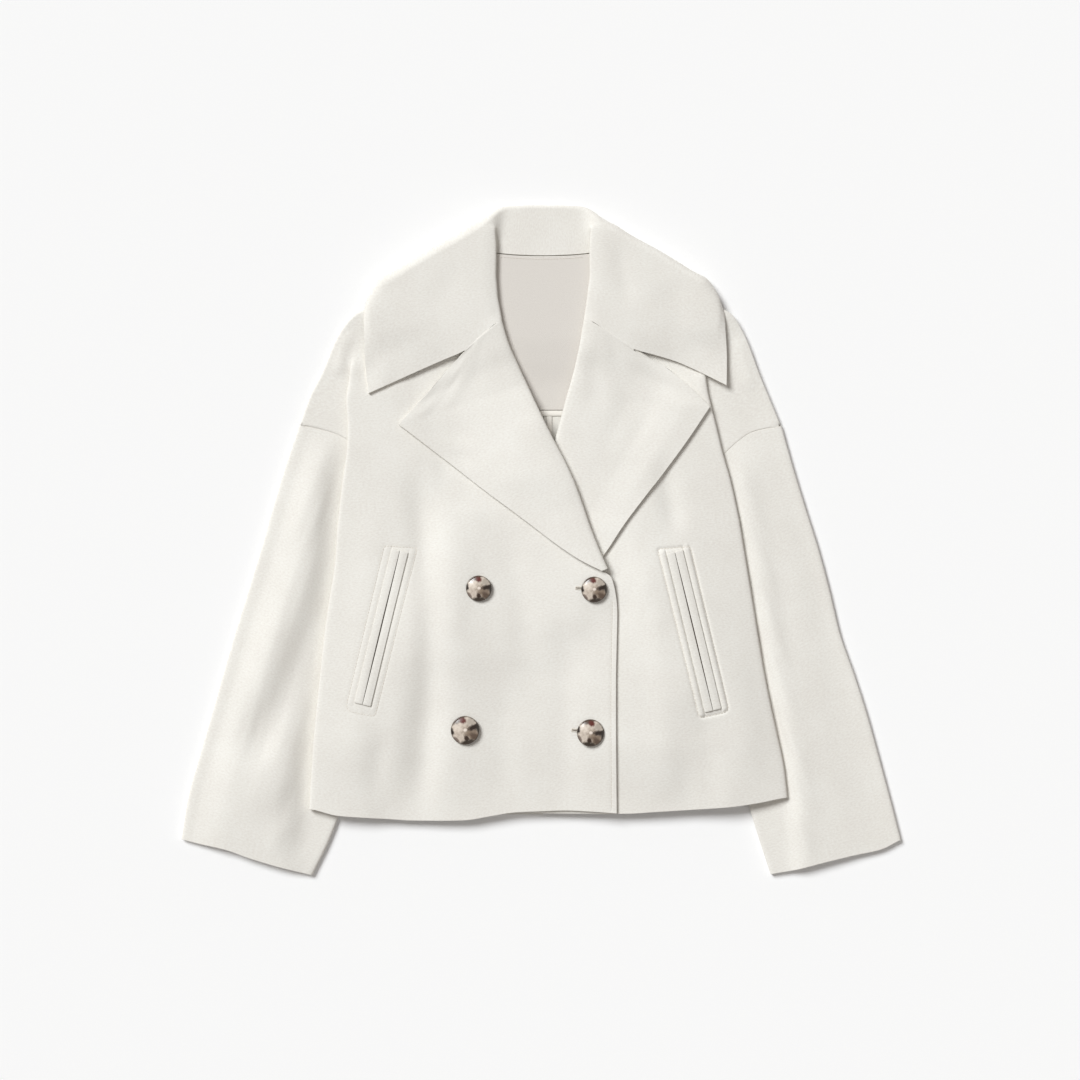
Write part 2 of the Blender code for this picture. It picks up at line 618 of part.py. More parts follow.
def lapel_rows(side):
    """Sections of a lapel square to its roll line, with the return under the fold."""
    part = COAT[side]
    gorge = part["gorge"]
    start_gap, roll_end, low_end, bend_spare = 4.0, 0.97, 0.985, 0.6
    roll = [gorge] + [point for point in part["roll"] if point[1] < gorge[1] - start_gap]
    rows = []
    for station in range(LAPEL_ROWS + 1):
        share = station / LAPEL_ROWS
        start = along(roll, roll_end * share)
        inward = normal(roll, share, -side)
        if share < LAPEL_CORNER:
            tip = along(part["lapel_top"], share / LAPEL_CORNER)
        else:
            tip = along(part["lapel_low"], low_end * (share - LAPEL_CORNER) / (1 - LAPEL_CORNER))
        level = level_of(side, start[0], start[1])
        bend = (turned_level(side, start[0], start[1]) - level) / 2
        base = start - inward * bend
        width = STAND_RETURN
        for _ in range(4):                  # the return's width is read where it ends
            cut = start - inward * width
            width = max(return_width(side, cut[1]) - TURN_GAP, bend + bend_spare)
        cut = start - inward * width
        row = []
        for step in range(RETURN_STEPS):
            plan = cut + (base - cut) * step / RETURN_STEPS
            row.append((plan[0], plan[1], level_of(side, plan[0], plan[1])))
        row += arc(base, inward, level + bend, bend, 180, 0, BEND_STEPS)
        if np.dot(tip - base, -inward) < LAPEL_LEAST:
            tip = base - inward * LAPEL_LEAST
        for step in range(1, LAPEL_STEPS + 1):
            plan = base + (tip - base) * step / LAPEL_STEPS
            row.append((plan[0], plan[1], turned_level(side, plan[0], plan[1])))
        rows.append(row)
    return rows


def mirrored(point, side):
    return np.array((CENTRE_X + side * (point[0] - CENTRE_X), point[1]))


def collar_back_row(side, fold_x, seam_x, edge_x):
    """A section behind the neck: the stand and leaf lie back as one layer over the fall."""
    seam = mirrored((seam_x, NECK_SEAM_Y + SEAM_GAP + neck_bow(seam_x)), side)
    edge = mirrored((edge_x, fall_edge(edge_x)), side)
    high = BED + FALL_LIFT
    bend = (high - FALL_BED) / 2
    base = mirrored((fold_x, COLLAR_TOP_Y), side) - np.array((0, bend))
    row = straight_steps(seam, base, high, STAND_STEPS + BEND_STEPS + LEAF_STEPS)
    row += arc(base, np.array((0, 1.0)), FALL_BED + bend, bend, 0, 180, RIDGE_STEPS)
    row += straight_steps(base, edge, FALL_BED, FALL_STEPS, first=1)
    return row + [(edge[0], edge[1], FALL_BED)]


def roll_part(side, seam, fold, level):
    """The stand's return under the roll line and the fold itself, from the bottom up."""
    bend = (COLLAR_LEVEL - level) / 2
    inward = np.array((-side * 1.0, 0.0))
    base = fold - inward * bend
    row = straight_steps(seam, base, level, STAND_STEPS)
    return row + arc(base, inward, level + bend, bend, 180, 0, BEND_STEPS), base


def collar_seam(side, seam_y, fold_y):
    """A section's ends on the neck seam of the front and on the roll line."""
    seam = front_inner(side, seam_y) - np.array((side * TURN_GAP, 0.0))
    return seam, np.array((x_at(COAT[side]["roll"], fold_y), fold_y))


def collar_side_row(side, seam_y, fold_y, ridge_x, ridge_y, edge_x):
    """A section over the shoulder: the leaf on top, the ridge, and the fall under the back."""
    seam, fold = collar_seam(side, seam_y, fold_y)
    edge = mirrored((edge_x, fall_edge(edge_x)), side)
    outward = RIDGE_NORMAL * (side, 1)
    row, base = roll_part(side, seam, fold, level_of(side, seam[0], seam[1]))
    bend = (COLLAR_LEVEL - FALL_BED) / 2
    ridge_base = mirrored((ridge_x, ridge_y), side) - outward * bend
    row += straight_steps(base, ridge_base, COLLAR_LEVEL, LEAF_STEPS, first=1)
    row += arc(ridge_base, outward, FALL_BED + bend, bend, 0, 180, RIDGE_STEPS)
    row += straight_steps(ridge_base, edge, FALL_BED, FALL_STEPS, first=1)
    return row + [(edge[0], edge[1], FALL_BED)]


def end_steps():
    """Shares of a leaf's width for the grid's columns that lie flat on the fronts."""
    rest = RIDGE_STEPS + FALL_STEPS
    inner = [LEAF_SHARE * step / LEAF_STEPS for step in range(1, LEAF_STEPS)]
    return inner + [LEAF_SHARE + (1 - LEAF_SHARE) * step / rest for step in range(rest + 1)]


def collar_end_row(side, seam_y, fold_y, edge_share):
    """A section of the leaf below the shoulder, out to the leaf's outer edge."""
    seam, fold = collar_seam(side, seam_y, fold_y)
    corner, tip = mirrored(LEAF_CORNER, side), COAT[side]["leaf_low"][-1]
    edge = corner + (tip - corner) * edge_share
    row, base = roll_part(side, seam, fold, level_of(side, seam[0], seam[1]))
    for share in end_steps():
        plan = base + (edge - base) * share
        row.append((plan[0], plan[1], COLLAR_LEVEL))
    return row


def collar_last_row(side):
    """The leaf's lower edge: the gorge seam down to the notch, then the free edge out to the tip."""
    gap_y = 0.7
    seam_y = COAT[side]["gorge"][1] + gap_y
    seam, fold = collar_seam(side, seam_y, seam_y)
    row, base = roll_part(side, seam, fold, level_of(side, seam[0], seam[1]))
    notch = COAT[side]["leaf_low"][0]
    shares = end_steps()
    notch_share = shares[NOTCH_STEP - 1]
    for share in shares:
        if share <= notch_share:
            plan = base + (notch - base) * share / notch_share
        else:
            plan = along(COAT[side]["leaf_low"], (share - notch_share) / (1 - notch_share))
        row.append((plan[0], plan[1], COLLAR_LEVEL))
    return row


def collar_half(side):
    rows = [collar_back_row(side, *numbers) for numbers in COLLAR_BACK]
    rows += [collar_side_row(side, *numbers) for numbers in COLLAR_SIDE]
    rows += [collar_end_row(side, *numbers) for numbers in COLLAR_END]
    return rows + [collar_last_row(side)]


def inside_level(x, y, wall):
    """A piece that lies on the inside of the back."""
    return back_level(x, y) + CLOTH_WALL / 2 + LAY_GAP + wall / 2


def neck_facing():
    """The back neck facing, from the neck seam down; its lower edge is bound."""
    bases = (NECK_SEAM_Y - 2 * SEAM_GAP,) + SHOULDER_BASES[1:] + (FACING_BOTTOM_Y + 20, FACING_BOTTOM_Y)
    bow_from = 150.0
    rows = []
    for step, base in enumerate(bases):
        bow = blend(bow_from, SHOULDER_BASES[-1], base)
        half = FACING_HALF_WIDTH * (1 - FACING_TAPER * (step / (len(bases) - 1)) ** 2)
        row = []
        for column in range(FACING_STEPS + 1):
            x = CENTRE_X + half * (2 * column / FACING_STEPS - 1)
            y = base + bow * neck_bow(x)
            row.append((x, y, inside_level(x, y, FACING_WALL)))
        rows.append(row)
    cloth_body("neck_facing", rows, FACING_WALL, WOOL_INSIDE)


def bindings():
    """The bound lower edge of the facing, and the bound centre seam below it."""
    half = FACING_HALF_WIDTH * (1 - FACING_TAPER)
    top = FACING_BOTTOM_Y - 3 * SEAM_GAP
    level = inside_level(CENTRE_X, top, BINDING_WALL)
    rows = []
    for y in (top, top - BINDING_WIDTH):
        rows.append([(CENTRE_X + half * share, y, level) for share in (-1, 0, 1)])
    cloth_body("facing_binding", rows, BINDING_WALL, BINDING)
    seam_top = top - BINDING_WIDTH - SEAM_GAP
    rows = []
    for y in (seam_top, (seam_top + SEAM_BINDING_END_Y) / 2, SEAM_BINDING_END_Y):
        rows.append([(SEAM_BINDING_X + BINDING_WIDTH * share, y, level) for share in (-0.5, 0.5)])
    cloth_body("seam_binding", rows, BINDING_WALL, BINDING)


def surface_reader(body):
    """A function for the height of a body's upper surface at a place in plan."""
    tree = BVHTree.FromObject(body, bpy.context.evaluated_depsgraph_get())
    above = 0.1

    def height(x, y):
        hit = tree.ray_cast(Vector((x * MM, y * MM, above)), Vector((0, 0, -1)))
        return hit[0].z / MM

    return height


def pocket_welts(name, height, slit, side):
    """Two strips lying on a front, one on each side of a slanted pocket's slit."""
    down = (slit[1] - slit[0]) / np.linalg.norm(slit[1] - slit[0])
    outward = np.array((-down[1], down[0])) * side
    for label, middle in (("inner", -1), ("outer", 1)):
        rows = []
        for step in range(WELT_STEPS + 1):
            place = slit[0] + (slit[1] - slit[0]) * step / WELT_STEPS
            place = place + outward * middle * (WELT_WIDTH + WELT_GAP) / 2
            row = []
            for shift in (-side * WELT_WIDTH / 2, side * WELT_WIDTH / 2):
                plan = place + outward * shift
                row.append((plan[0], plan[1], height(plan[0], plan[1]) + LAY_GAP + WELT_WALL / 2))
            rows.append(row)
        cloth_body(f"{name}_{label}", rows, WELT_WALL, WOOL)


def button(name, height, x, y, diameter):
    """A domed button on its shank, turned round its own axis."""
    radius = diameter / 2
    profile = [(share * radius * MM, 0.0, (BUTTON_THICKNESS - drop) * MM) for share, drop in BUTTON_PROFILE]
    mesh = bpy.data.meshes.new(name)
    mesh.from_pydata(profile, [(i, i + 1) for i in range(len(profile) - 1)], [])
    mesh.materials.append(material(name, HORN, 0.3))
    body = bpy.data.objects.new(name, mesh)
    parts.objects.link(body)
    turned = body.modifiers.new("turned", "SCREW")
    turned.steps = BUTTON_SIDES
    turned.render_steps = BUTTON_SIDES
    turned.use_merge_vertices = True
    turned.merge_threshold = 0.00001
    turned.use_normal_calculate = True
    foot = (-BUTTON_FOOT, 0.0, BUTTON_FOOT)
    top = max(height(x + dx, y + dy) for dx in foot for dy in foot)
    body.location = (x * MM, y * MM, (top + LAY_GAP) * MM)


for old in list(bpy.data.objects):
    bpy.data.objects.remove(old, do_unlink=True)
parts = bpy.data.collections.new("short_coat")
bpy.context.scene.collection.children.link(parts)

for word, side in (("left", 1), ("right", -1)):
    cloth_body(f"back_{word}", back_rows(side), CLOTH_WALL, WOOL)
    cloth_body(f"sleeve_{word}", sleeve_rows(side), CLOTH_WALL, WOOL, closed=True)
    front = cloth_body(f"front_{word}", front_rows(side), CLOTH_WALL, WOOL)
    cloth_body(f"lapel_{word}", lapel_rows(side), DOUBLE_WALL, WOOL)
    pocket_welts(f"welt_{word}", surface_reader(front), COAT[side]["slit"], side)
collar_rows = list(reversed(collar_half(-1))) + collar_half(1)[1:]
cloth_body("collar", collar_rows, DOUBLE_WALL, WOOL)
neck_facing()
bindings()
upper_front = surface_reader(parts.objects["front_right"])     # all four buttons show on the upper front
for button_name, button_x, button_y, button_size in BUTTONS:
    button(button_name, upper_front, button_x, button_y, button_size)
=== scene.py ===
import math

import bmesh
import bpy
import numpy as np
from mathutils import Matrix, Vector
from mathutils.bvhtree import BVHTree


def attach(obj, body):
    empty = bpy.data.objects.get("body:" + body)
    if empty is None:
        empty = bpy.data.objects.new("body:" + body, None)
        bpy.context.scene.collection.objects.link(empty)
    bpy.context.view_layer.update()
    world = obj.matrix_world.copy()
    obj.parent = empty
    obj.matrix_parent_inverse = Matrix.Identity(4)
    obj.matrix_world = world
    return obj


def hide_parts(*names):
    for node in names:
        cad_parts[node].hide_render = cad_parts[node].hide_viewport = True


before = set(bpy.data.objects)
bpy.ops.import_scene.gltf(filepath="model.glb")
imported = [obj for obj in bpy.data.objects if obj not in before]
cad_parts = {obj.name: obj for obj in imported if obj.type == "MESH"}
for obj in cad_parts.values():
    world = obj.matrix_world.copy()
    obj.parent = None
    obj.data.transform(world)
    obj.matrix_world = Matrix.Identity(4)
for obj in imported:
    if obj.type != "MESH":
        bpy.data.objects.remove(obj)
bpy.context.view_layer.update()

mm = 0.001          # lengths below are in millimetres, and are turned to metres where a mesh is made
spacing = 4.6       # between the points of the cloth's fine grid
print("frame loaded:", len(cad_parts), "nodes")


# Small helpers for curves and smooth steps

def points(*pairs):
    return [np.array(pair, float) for pair in pairs]


def blend(low, high, value):
    part = np.clip((np.asarray(value, float) - low) / (high - low), 0.0, 1.0)
    return part * part * (3.0 - 2.0 * part)


def hermite(start, end, slopeIn, slopeOut, local):      # cubic across one step
    square, cube = local ** 2, local ** 3
    return ((2 * cube - 3 * square + 1) * start + (cube - 2 * square + local) * slopeIn
            + (3 * square - 2 * cube) * end + (cube - square) * slopeOut)


def along(line, share):             # a smooth curve through the line's points, by share of its length
    steps = [np.linalg.norm(b - a) for a, b in zip(line, line[1:])]
    target = min(max(share, 0.0), 1.0) * sum(steps)
    index = 0
    while index < len(steps) - 1 and target > steps[index]:
        target -= steps[index]
        index += 1
    local = min(target / steps[index], 1.0)
    start, end = line[index], line[index + 1]
    before = line[index - 1] if index > 0 else 2 * start - end
    after = line[index + 2] if index + 2 < len(line) else 2 * end - start
    slopeIn = (end - before) * steps[index] / (steps[index] + np.linalg.norm(start - before))
    slopeOut = (after - start) * steps[index] / (steps[index] + np.linalg.norm(after - end))
    return hermite(start, end, slopeIn, slopeOut, local)


def sideways(line, share, side):    # unit normal of a line in plan, towards one side of the coat
    step = along(line, min(share + 0.02, 1.0)) - along(line, max(share - 0.02, 0.0))
    turned = np.array((-step[1], step[0])) / np.linalg.norm(step)
    return turned if turned[0] * side > 0 else -turned


def xAt(line, y):                   # y is one number or an array
    return np.interp(y, [p[1] for p in reversed(line)], [p[0] for p in reversed(line)])


def yAt(line, x):
    ordered = sorted(tuple(p) for p in line)
    return float(np.interp(x, [p[0] for p in ordered], [p[1] for p in ordered]))


def arc(base, direction, middle, radius, start, end, count):    # an upright bend; degrees from its top
    found = []
    for step in range(count + 1):
        angle = math.radians(start + (end - start) * step / count)
        plan = base + direction * radius * math.sin(angle)
        found.append((plan[0], plan[1], middle + radius * math.cos(angle)))
    return found


# The garment's lines in plan: side 1 is the wearer's left, side -1 the right
coat = {
    1: {
        "roll": points((51, 290), (51.5, 277), (48, 246), (43, 214), (37, 184), (31, 160), (24, 137),
                       (14, 98), (-2, 51), (-28, -6), (-55, -58), (-69, -86)),
        "edge": points((-69, -86), (-72.5, -110), (-73, -200), (-73, -286)),
        "shoulder": points((66, 299), (110, 285), (150, 262), (176, 243.5), (190, 236.5), (200, 231),
                           (207, 218), (214, 204), (225, 174)),
        "shoulderEnd": points((225, 174), (236.5, 146), (248, 118)),
        "armhole": points((248, 118), (232, 115), (217, 111), (204, 102), (188, 88), (170, 74), (144, 54),
                          (102, 25)),
        "fold": points((170, 170), (174, 142), (179, 122), (187, 89), (195, 61), (204, 20)),
        "foldLow": points((204, 20), (214, -41), (232, -150), (243, -201), (251, -240), (254, -268)),
        "underarm": np.array((102.0, 25.0)),
        "sideHem": np.array((209.0, -276.0)),
        "sleeveOuter": points((248, 118), (265, 59), (292, -28), (310, -101), (331, -161), (359, -261),
                              (372.5, -313)),
        "sleeveInner": points((114, 18), (152, -86), (190, -200), (218, -282), (232, -328), (239, -348)),
        "cuff": points((372.5, -313), (354, -322), (326, -328), (290, -336.5), (261, -344), (239, -348)),
        "notch": np.array((95.5, 196.5)),
        "gorge": np.array((45.0, 227.0)),
        "leafLow": points((95.55, 196.65), (136.8, 185), (158, 175.8), (191.5, 159)),
        "lapelTop": points((95.5, 196.5), (135, 174), (155, 156), (174.5, 137)),
        "lapelLow": points((174.5, 137), (145.5, 94), (120.5, 61), (89, 20), (62.5, -19), (28, -54),
                           (-14, -76), (-66, -90)),
        "hem": points((-73, -284), (84, -285), (163, -280), (211, -276), (254, -268)),
        "slit": points((137.5, -13), (177, -177)),
    },
    -1: {
        "roll": points((-48, 290), (-48.5, 277), (-46.5, 250), (-42, 226), (-37, 207), (-17, 162), (4, 117),
                       (31, 63), (52, 5), (68, -33)),
        "edge": points((68, -33), (76, -46), (78.5, -66), (77, -143), (77, -200), (78, -284)),
        "shoulder": points((-62, 299), (-106, 285), (-146, 262), (-172, 242), (-186, 236), (-197, 230),
                           (-206, 218), (-214, 204), (-226, 175)),
        "shoulderEnd": points((-226, 175), (-240, 147), (-250, 119)),
        "armhole": points((-250, 119), (-231, 115), (-216, 110.5), (-201, 103), (-185, 89), (-167, 75),
                          (-141, 54), (-99, 25)),
        "fold": points((-198.5, 176), (-201.5, 143), (-200, 121), (-201, 93), (-206, 55), (-211, 10)),
        "foldLow": points((-211, 10), (-214, -31), (-222, -81), (-230, -153), (-236, -215), (-240, -280)),
        "underarm": np.array((-99.0, 25.0)),
        "sideHem": np.array((-203.0, -286.0)),
        "sleeveOuter": points((-250, 119), (-270, 59), (-291, -14), (-318, -101), (-343, -188),
                              (-367.5, -275), (-373, -312)),
        "sleeveInner": points((-111, 18), (-149, -88), (-186, -205), (-212, -290), (-227, -325),
                              (-239, -349)),
        "cuff": points((-373, -312), (-359, -315.5), (-327, -322.5), (-303, -331), (-270, -341),
                       (-239, -349)),
        "notch": np.array((-79.5, 195.0)),
        "gorge": np.array((-42.0, 225.0)),
        "leafLow": points((-79.55, 195.14), (-130, 173.2), (-179, 150.5)),
        "lapelTop": points((-79.5, 195), (-148, 118.5)),
        "lapelLow": points((-148, 118.5), (-87, 72), (-52, 45), (-22, 23), (19, -8), (66, -38)),
        "hem": points((78, -284), (31, -281), (-26, -283), (-52, -287), (-84, -292), (-132, -292),
                      (-211, -287), (-240, -280)),
        "slit": points((-146.5, -12), (-185, -171)),
    },
}
centreX = 2.0               # line of the back's centre seam
cloth = {
    "wall": 2.4,            # milled coat wool with its fusing
    "doubleWall": 3.2,      # lapel and collar, two layers
    "seamGap": 0.4,
    "turnGap": 1.4,         # beside the roll lines, where the cloth turns over
    "armholeGap": 0.5,
}
layers = {                  # heights of the middle of each wall above the surface
    "bed": 1.2,
    "fallBed": 1.6,
    "fallLift": 4.0,
    "step": 3.4,
    "facingLift": 2.6,
    "flap": 7.8,
    "side": 11.0,
    "lapelStep": 4.7,
    "collar": 14.8,
    "overFront": 3.4,
    "overLapel": 8.9,
}
neck = {"seamY": 294.0, "fallY": 215.0, "fallRise": 36.0, "fallHalf": 176.0, "drapeNear": 5.0,
        "drapeFar": 62.0, "standReturn": 18.0, "returnEnd": 6.0}
curl = {"radius": 1.7, "angle": 45.0}       # edges that meet at a shoulder or side seam curl together


def neckBow(x):
    return neck["fallRise"] * ((x - centreX) / neck["fallHalf"]) ** 2


def bowedY(x, start, end, bow):             # a section between two ends, straight or bowed
    straight = (x - start[0]) / (end[0] - start[0])
    curved = (neckBow(x) - neckBow(start[0])) / (neckBow(end[0]) - neckBow(start[0]))
    return start[1] + (end[1] - start[1]) * (straight + bow * (curved - straight))


def meet(line, base, bow=1.0):              # where a bowed section from the centre seam reaches a line
    low, high = 0.0, 1.0
    for _ in range(30):
        middle = (low + high) / 2
        x, y = along(line, middle)
        if y > base + bow * neckBow(x):
            low = middle
        else:
            high = middle
    return low


def backLevel(x, y):
    edge = neck["fallY"] + neckBow(x)
    return layers["bed"] + layers["fallLift"] * blend(edge - neck["drapeFar"], edge - neck["drapeNear"], y)


def frontLevel(side, x, y):                 # a front lying alone on the back, its side raised over the sleeve
    part = coat[side]
    apex = part["fold"][0]
    facing = blend(20, 70, y) * (1 - blend(60, 105, abs(x - centreX)))
    plain = backLevel(x, y) + layers["step"] + layers["facingLift"] * facing
    reach = side * (x - xAt([apex, part["underarm"], part["sideHem"]], y))
    raised = blend(-66, -4, reach) * (1 - blend(apex[1] - 30, apex[1] + 34, y))
    return plain + (layers["side"] - plain) * raised


def upperFrontLevel(x, y):                  # the wearer's right front, over the left one and its lapel
    plain = frontLevel(-1, x, y)
    edge = xAt(coat[1]["roll"] + coat[1]["edge"][1:], y)
    lap = blend(edge - 112, edge - 12, x) * (1 - blend(113, 190, y))
    below = frontLevel(1, x, y) if x > 0 else plain
    lapelEnd = yAt(coat[1]["lapelLow"], x)
    onLapel = blend(lapelEnd - 88, lapelEnd - 6, y)
    lift = layers["overFront"] + (layers["overLapel"] - layers["overFront"]) * onLapel
    return plain + (max(below, plain) + lift - plain) * lap


def levelOf(side, x, y):
    return float(frontLevel(1, x, y) if side > 0 else upperFrontLevel(x, y))


leaf = {"over": 3.5, "lowest": 9.3, "settleY": (247.0, 172.0), "settleX": (15.0, 100.0)}


def leafLevel(side, x, y):                  # the collar's leaf settles onto the fronts towards its tips
    settled = (blend(0, leaf["settleY"][0] - leaf["settleY"][1], leaf["settleY"][0] - y)
               * blend(*leaf["settleX"], side * (x - xAt(coat[side]["roll"], y))))
    rest = min(max(levelOf(side, x, y) + leaf["over"], leaf["lowest"]), layers["collar"])
    return float(layers["collar"] + (rest - layers["collar"]) * settled)


def turnedLevel(side, x, y):                # a lapel on its front, level with the collar at the gorge
    gorge, notch = coat[side]["gorge"], coat[side]["notch"]
    seamY = gorge[1] + (notch[1] - gorge[1]) * (x - gorge[0]) / (notch[0] - gorge[0])
    fromRoll = side * (x - xAt(coat[side]["roll"], y))
    step = layers["lapelStep"] - 0.9 * blend(10, 70, fromRoll)
    return max(levelOf(side, x, y) + step, leafLevel(side, x, seamY) - 0.1 * max(seamY - y, 0.0))


# Soft troughs (depth below 0) and ridges: width, depth, fade at each end, path in plan
def crease(width, depth, fade, *path):
    return {"width": width, "depth": depth, "fade": fade, "path": points(*path)}


bodyFolds = [
    crease(15, -3.4, 60, (-134, 84), (-124, 19), (-117, -79), (-119, -177), (-125, -290)),
    crease(22, 1.6, 70, (-92, 40), (-86, -80), (-90, -200), (-92, -290)),
    crease(15, -1.2, 60, (-46, 30), (-28, -28), (-18, -90), (-14, -150)),
    crease(15, -1.1, 70, (20, -60), (27, -130), (24, -215), (30, -290)),
    crease(15, -1.0, 60, (-36, -130), (-40, -210), (-34, -290)),
    crease(12, -2.6, 40, (124, 96), (131, 50), (142, -6)),
    crease(24, 1.8, 60, (104, 10), (112, -80), (128, -180), (134, -284)),
    crease(26, -3.2, 60, (150, -150), (168, -214), (186, -275)),
    crease(18, 1.6, 60, (205, -90), (214, -170), (224, -250)),
    crease(20, 1.2, 70, (-178, 60), (-182, -40), (-190, -150), (-196, -270)),
    crease(12, -1.3, 40, (-160, -190), (-172, -240), (-176, -286)),
]
foldStrength = 1.3
bodyPuff = {"height": 3.0, "middle": (0.0, -110.0), "reach": (230.0, 240.0), "flatShare": 0.2,
            "fromFold": 52.0}
sideRoll = {                                # the fronts roll over to the sides
    1: {"height": 15.0, "reach": 118.0},
    -1: {"height": 2.0, "reach": 36.0},
    "inward": (260.0, 0.7),                 # where it has sunk by this share
    "upper": (-170.0, 60.0, 0.62),
    "hem": (-286.0, -205.0, 0.5),
}
liftEnds = (5.0, 200.0)                     # above this the fronts lie as their solids do
sleeveFolds = {
    -1: [
        crease(19, -4.6, 50, (-238, -60), (-254, -142), (-283, -192), (-322, -246)),
        crease(20, 2.0, 60, (-262, -40), (-288, -128), (-320, -178)),
        crease(20, 2.0, 50, (-262, -225), (-292, -262), (-318, -300)),
        crease(8, -2.6, 25, (-250, -285), (-243, -318), (-247, -345)),
        crease(15, 1.2, 40, (-246, 90), (-252, 40), (-262, -20)),
    ],
    1: [
        crease(17, 2.6, 60, (252, 88), (268, 0), (284, -100), (296, -170)),
        crease(13, -1.8, 60, (228, 60), (240, -10), (254, -90), (262, -150)),
        crease(15, -2.2, 55, (300, -110), (322, -190), (340, -255)),
        crease(20, -1.4, 50, (272, -200), (286, -262), (300, -325)),
        crease(14, 1.5, 40, (252, -250), (258, -300), (262, -340)),
    ],
}
sleeveSwell = {"height": 10.0, "fromFold": {1: (0.0, 18.0), -1: (0.0, 34.0)},
               "fromEdge": {1: (0.0, 105.0), -1: (0.0, 46.0)}, "headShare": 0.12, "cuff": (0.8, 1.0, 0.55)}
turnedFolds = {                             # on the collar's leaf and the lapels
    1: [
        crease(10, -1.0, 30, (77, 314), (84, 276), (92, 235)),
        crease(16, -1.1, 30, (124, 270), (138, 236), (153, 201)),
        crease(11, -0.9, 25, (48, 201), (54, 166), (60, 127)),
    ],
    -1: [
        crease(15, -0.5, 30, (-84, 292), (-98, 258), (-120, 226)),
        crease(13, -0.5, 30, (-30, 150), (-18, 112), (8, 70)),
    ],
}
shoulderFolds = [
    crease(8, 1.5, 14, (-202, 218), (-207, 190), (-211, 166)),
    crease(7, 0.9, 16, (203, 214), (212, 180), (220, 150)),
]
backFolds = [                               # the hidden side: shallow ridges that lift clear of the surface
    crease(12, 0.7, 60, (-60, 150), (-66, 20), (-78, -120), (-84, -280)),
    crease(14, 0.65, 70, (70, 120), (82, 0), (92, -140), (98, -274)),
    crease(10, 0.5, 60, (20, 60), (30, -90), (26, -270)),
    crease(11, 0.6, 50, (-150, -60), (-164, -170), (-176, -280)),
    crease(10, 0.6, 50, (150, -70), (168, -160), (186, -268)),
]


def lineDistance(path, x, y):               # for points x, y: distance to a line in plan, and place along it
    nearest, place, reached = np.full(np.shape(x), 1e9), np.zeros(np.shape(x)), 0.0
    for a, b in zip(path, path[1:]):
        run = b - a
        size = np.linalg.norm(run)
        share = np.clip(((x - a[0]) * run[0] + (y - a[1]) * run[1]) / size ** 2, 0, 1)
        away = np.hypot(x - a[0] - share * run[0], y - a[1] - share * run[1])
        place = np.where(away < nearest, reached + share * size, place)
        nearest = np.minimum(away, nearest)
        reached += size
    return nearest, place, reached


def foldsLift(folds, x, y):                 # sum of the soft troughs and ridges at points x, y
    total = np.zeros(np.shape(x))
    for fold in folds:
        line = [along(fold["path"], share) for share in np.linspace(0, 1, 25)]
        away, place, length = lineDistance(line, x, y)
        ends = blend(0, fold["fade"], place) * blend(0, fold["fade"], length - place)
        total += fold["depth"] * np.exp(-(away / fold["width"]) ** 2) * ends
    return total * foldStrength


def bodyLift(x, y):                 # how far the fronts, and all that lies on them, stand above the solids
    away = np.hypot((x - bodyPuff["middle"][0]) / bodyPuff["reach"][0],
                    (y - bodyPuff["middle"][1]) / bodyPuff["reach"][1])
    soft = bodyPuff["height"] * (1 - blend(bodyPuff["flatShare"], 1.0, away)) + foldsLift(bodyFolds, x, y)
    inward, inwardShare = sideRoll["inward"]
    upperLow, upperHigh, upperShare = sideRoll["upper"]
    hemLow, hemHigh, hemShare = sideRoll["hem"]
    fronts, rolls = [], 0.0
    for side in (1, -1):
        roll = sideRoll[side]
        fromFold = side * (xAt(coat[side]["fold"] + coat[side]["foldLow"][1:], y) - x)
        fronts.append(blend(0, bodyPuff["fromFold"], fromFold))
        rise = 1 - (1 - np.clip(fromFold / roll["reach"], 0, 1)) ** 2
        sunk = 1 - inwardShare * blend(roll["reach"], inward, fromFold)
        sunk = sunk * (1 - upperShare * blend(upperLow, upperHigh, y))
        rolls = rolls + roll["height"] * rise * sunk
    rolls = rolls * (1 - hemShare * (1 - blend(hemLow, hemHigh, y)))
    return (soft * fronts[0] * fronts[1] + rolls) * (1 - blend(*liftEnds, y))


# Fine grids from coarse rows of points

def throughStations(stations, values, wanted):      # monotone cubic: it never overshoots beside a fold
    gaps = np.diff(stations)
    slopes = np.diff(values, axis=0) / gaps[:, None]
    if len(gaps) == 1:
        return values[0] + slopes[0] * (wanted - stations[0])[:, None]
    first, second = 2 * gaps[1:] + gaps[:-1], gaps[1:] + 2 * gaps[:-1]
    same = slopes[:-1] * slopes[1:] > 0
    safeIn, safeOut = np.where(same, slopes[:-1], 1.0), np.where(same, slopes[1:], 1.0)
    inner = (first + second)[:, None] / (first[:, None] / safeIn + second[:, None] / safeOut)
    tangents = np.vstack([slopes[:1], np.where(same, inner, 0.0), slopes[-1:]])
    index = np.clip(np.searchsorted(stations, wanted, side="right") - 1, 0, len(gaps) - 1)
    local = ((wanted - stations[index]) / gaps[index])[:, None]
    gap = gaps[index][:, None]
    return hermite(values[index], values[index + 1], gap * tangents[index], gap * tangents[index + 1], local)


edgeRows = {"longEnough": 6.0, "away": (0.8, 2.2)}  # extra lines close to the cut edges keep them crisp


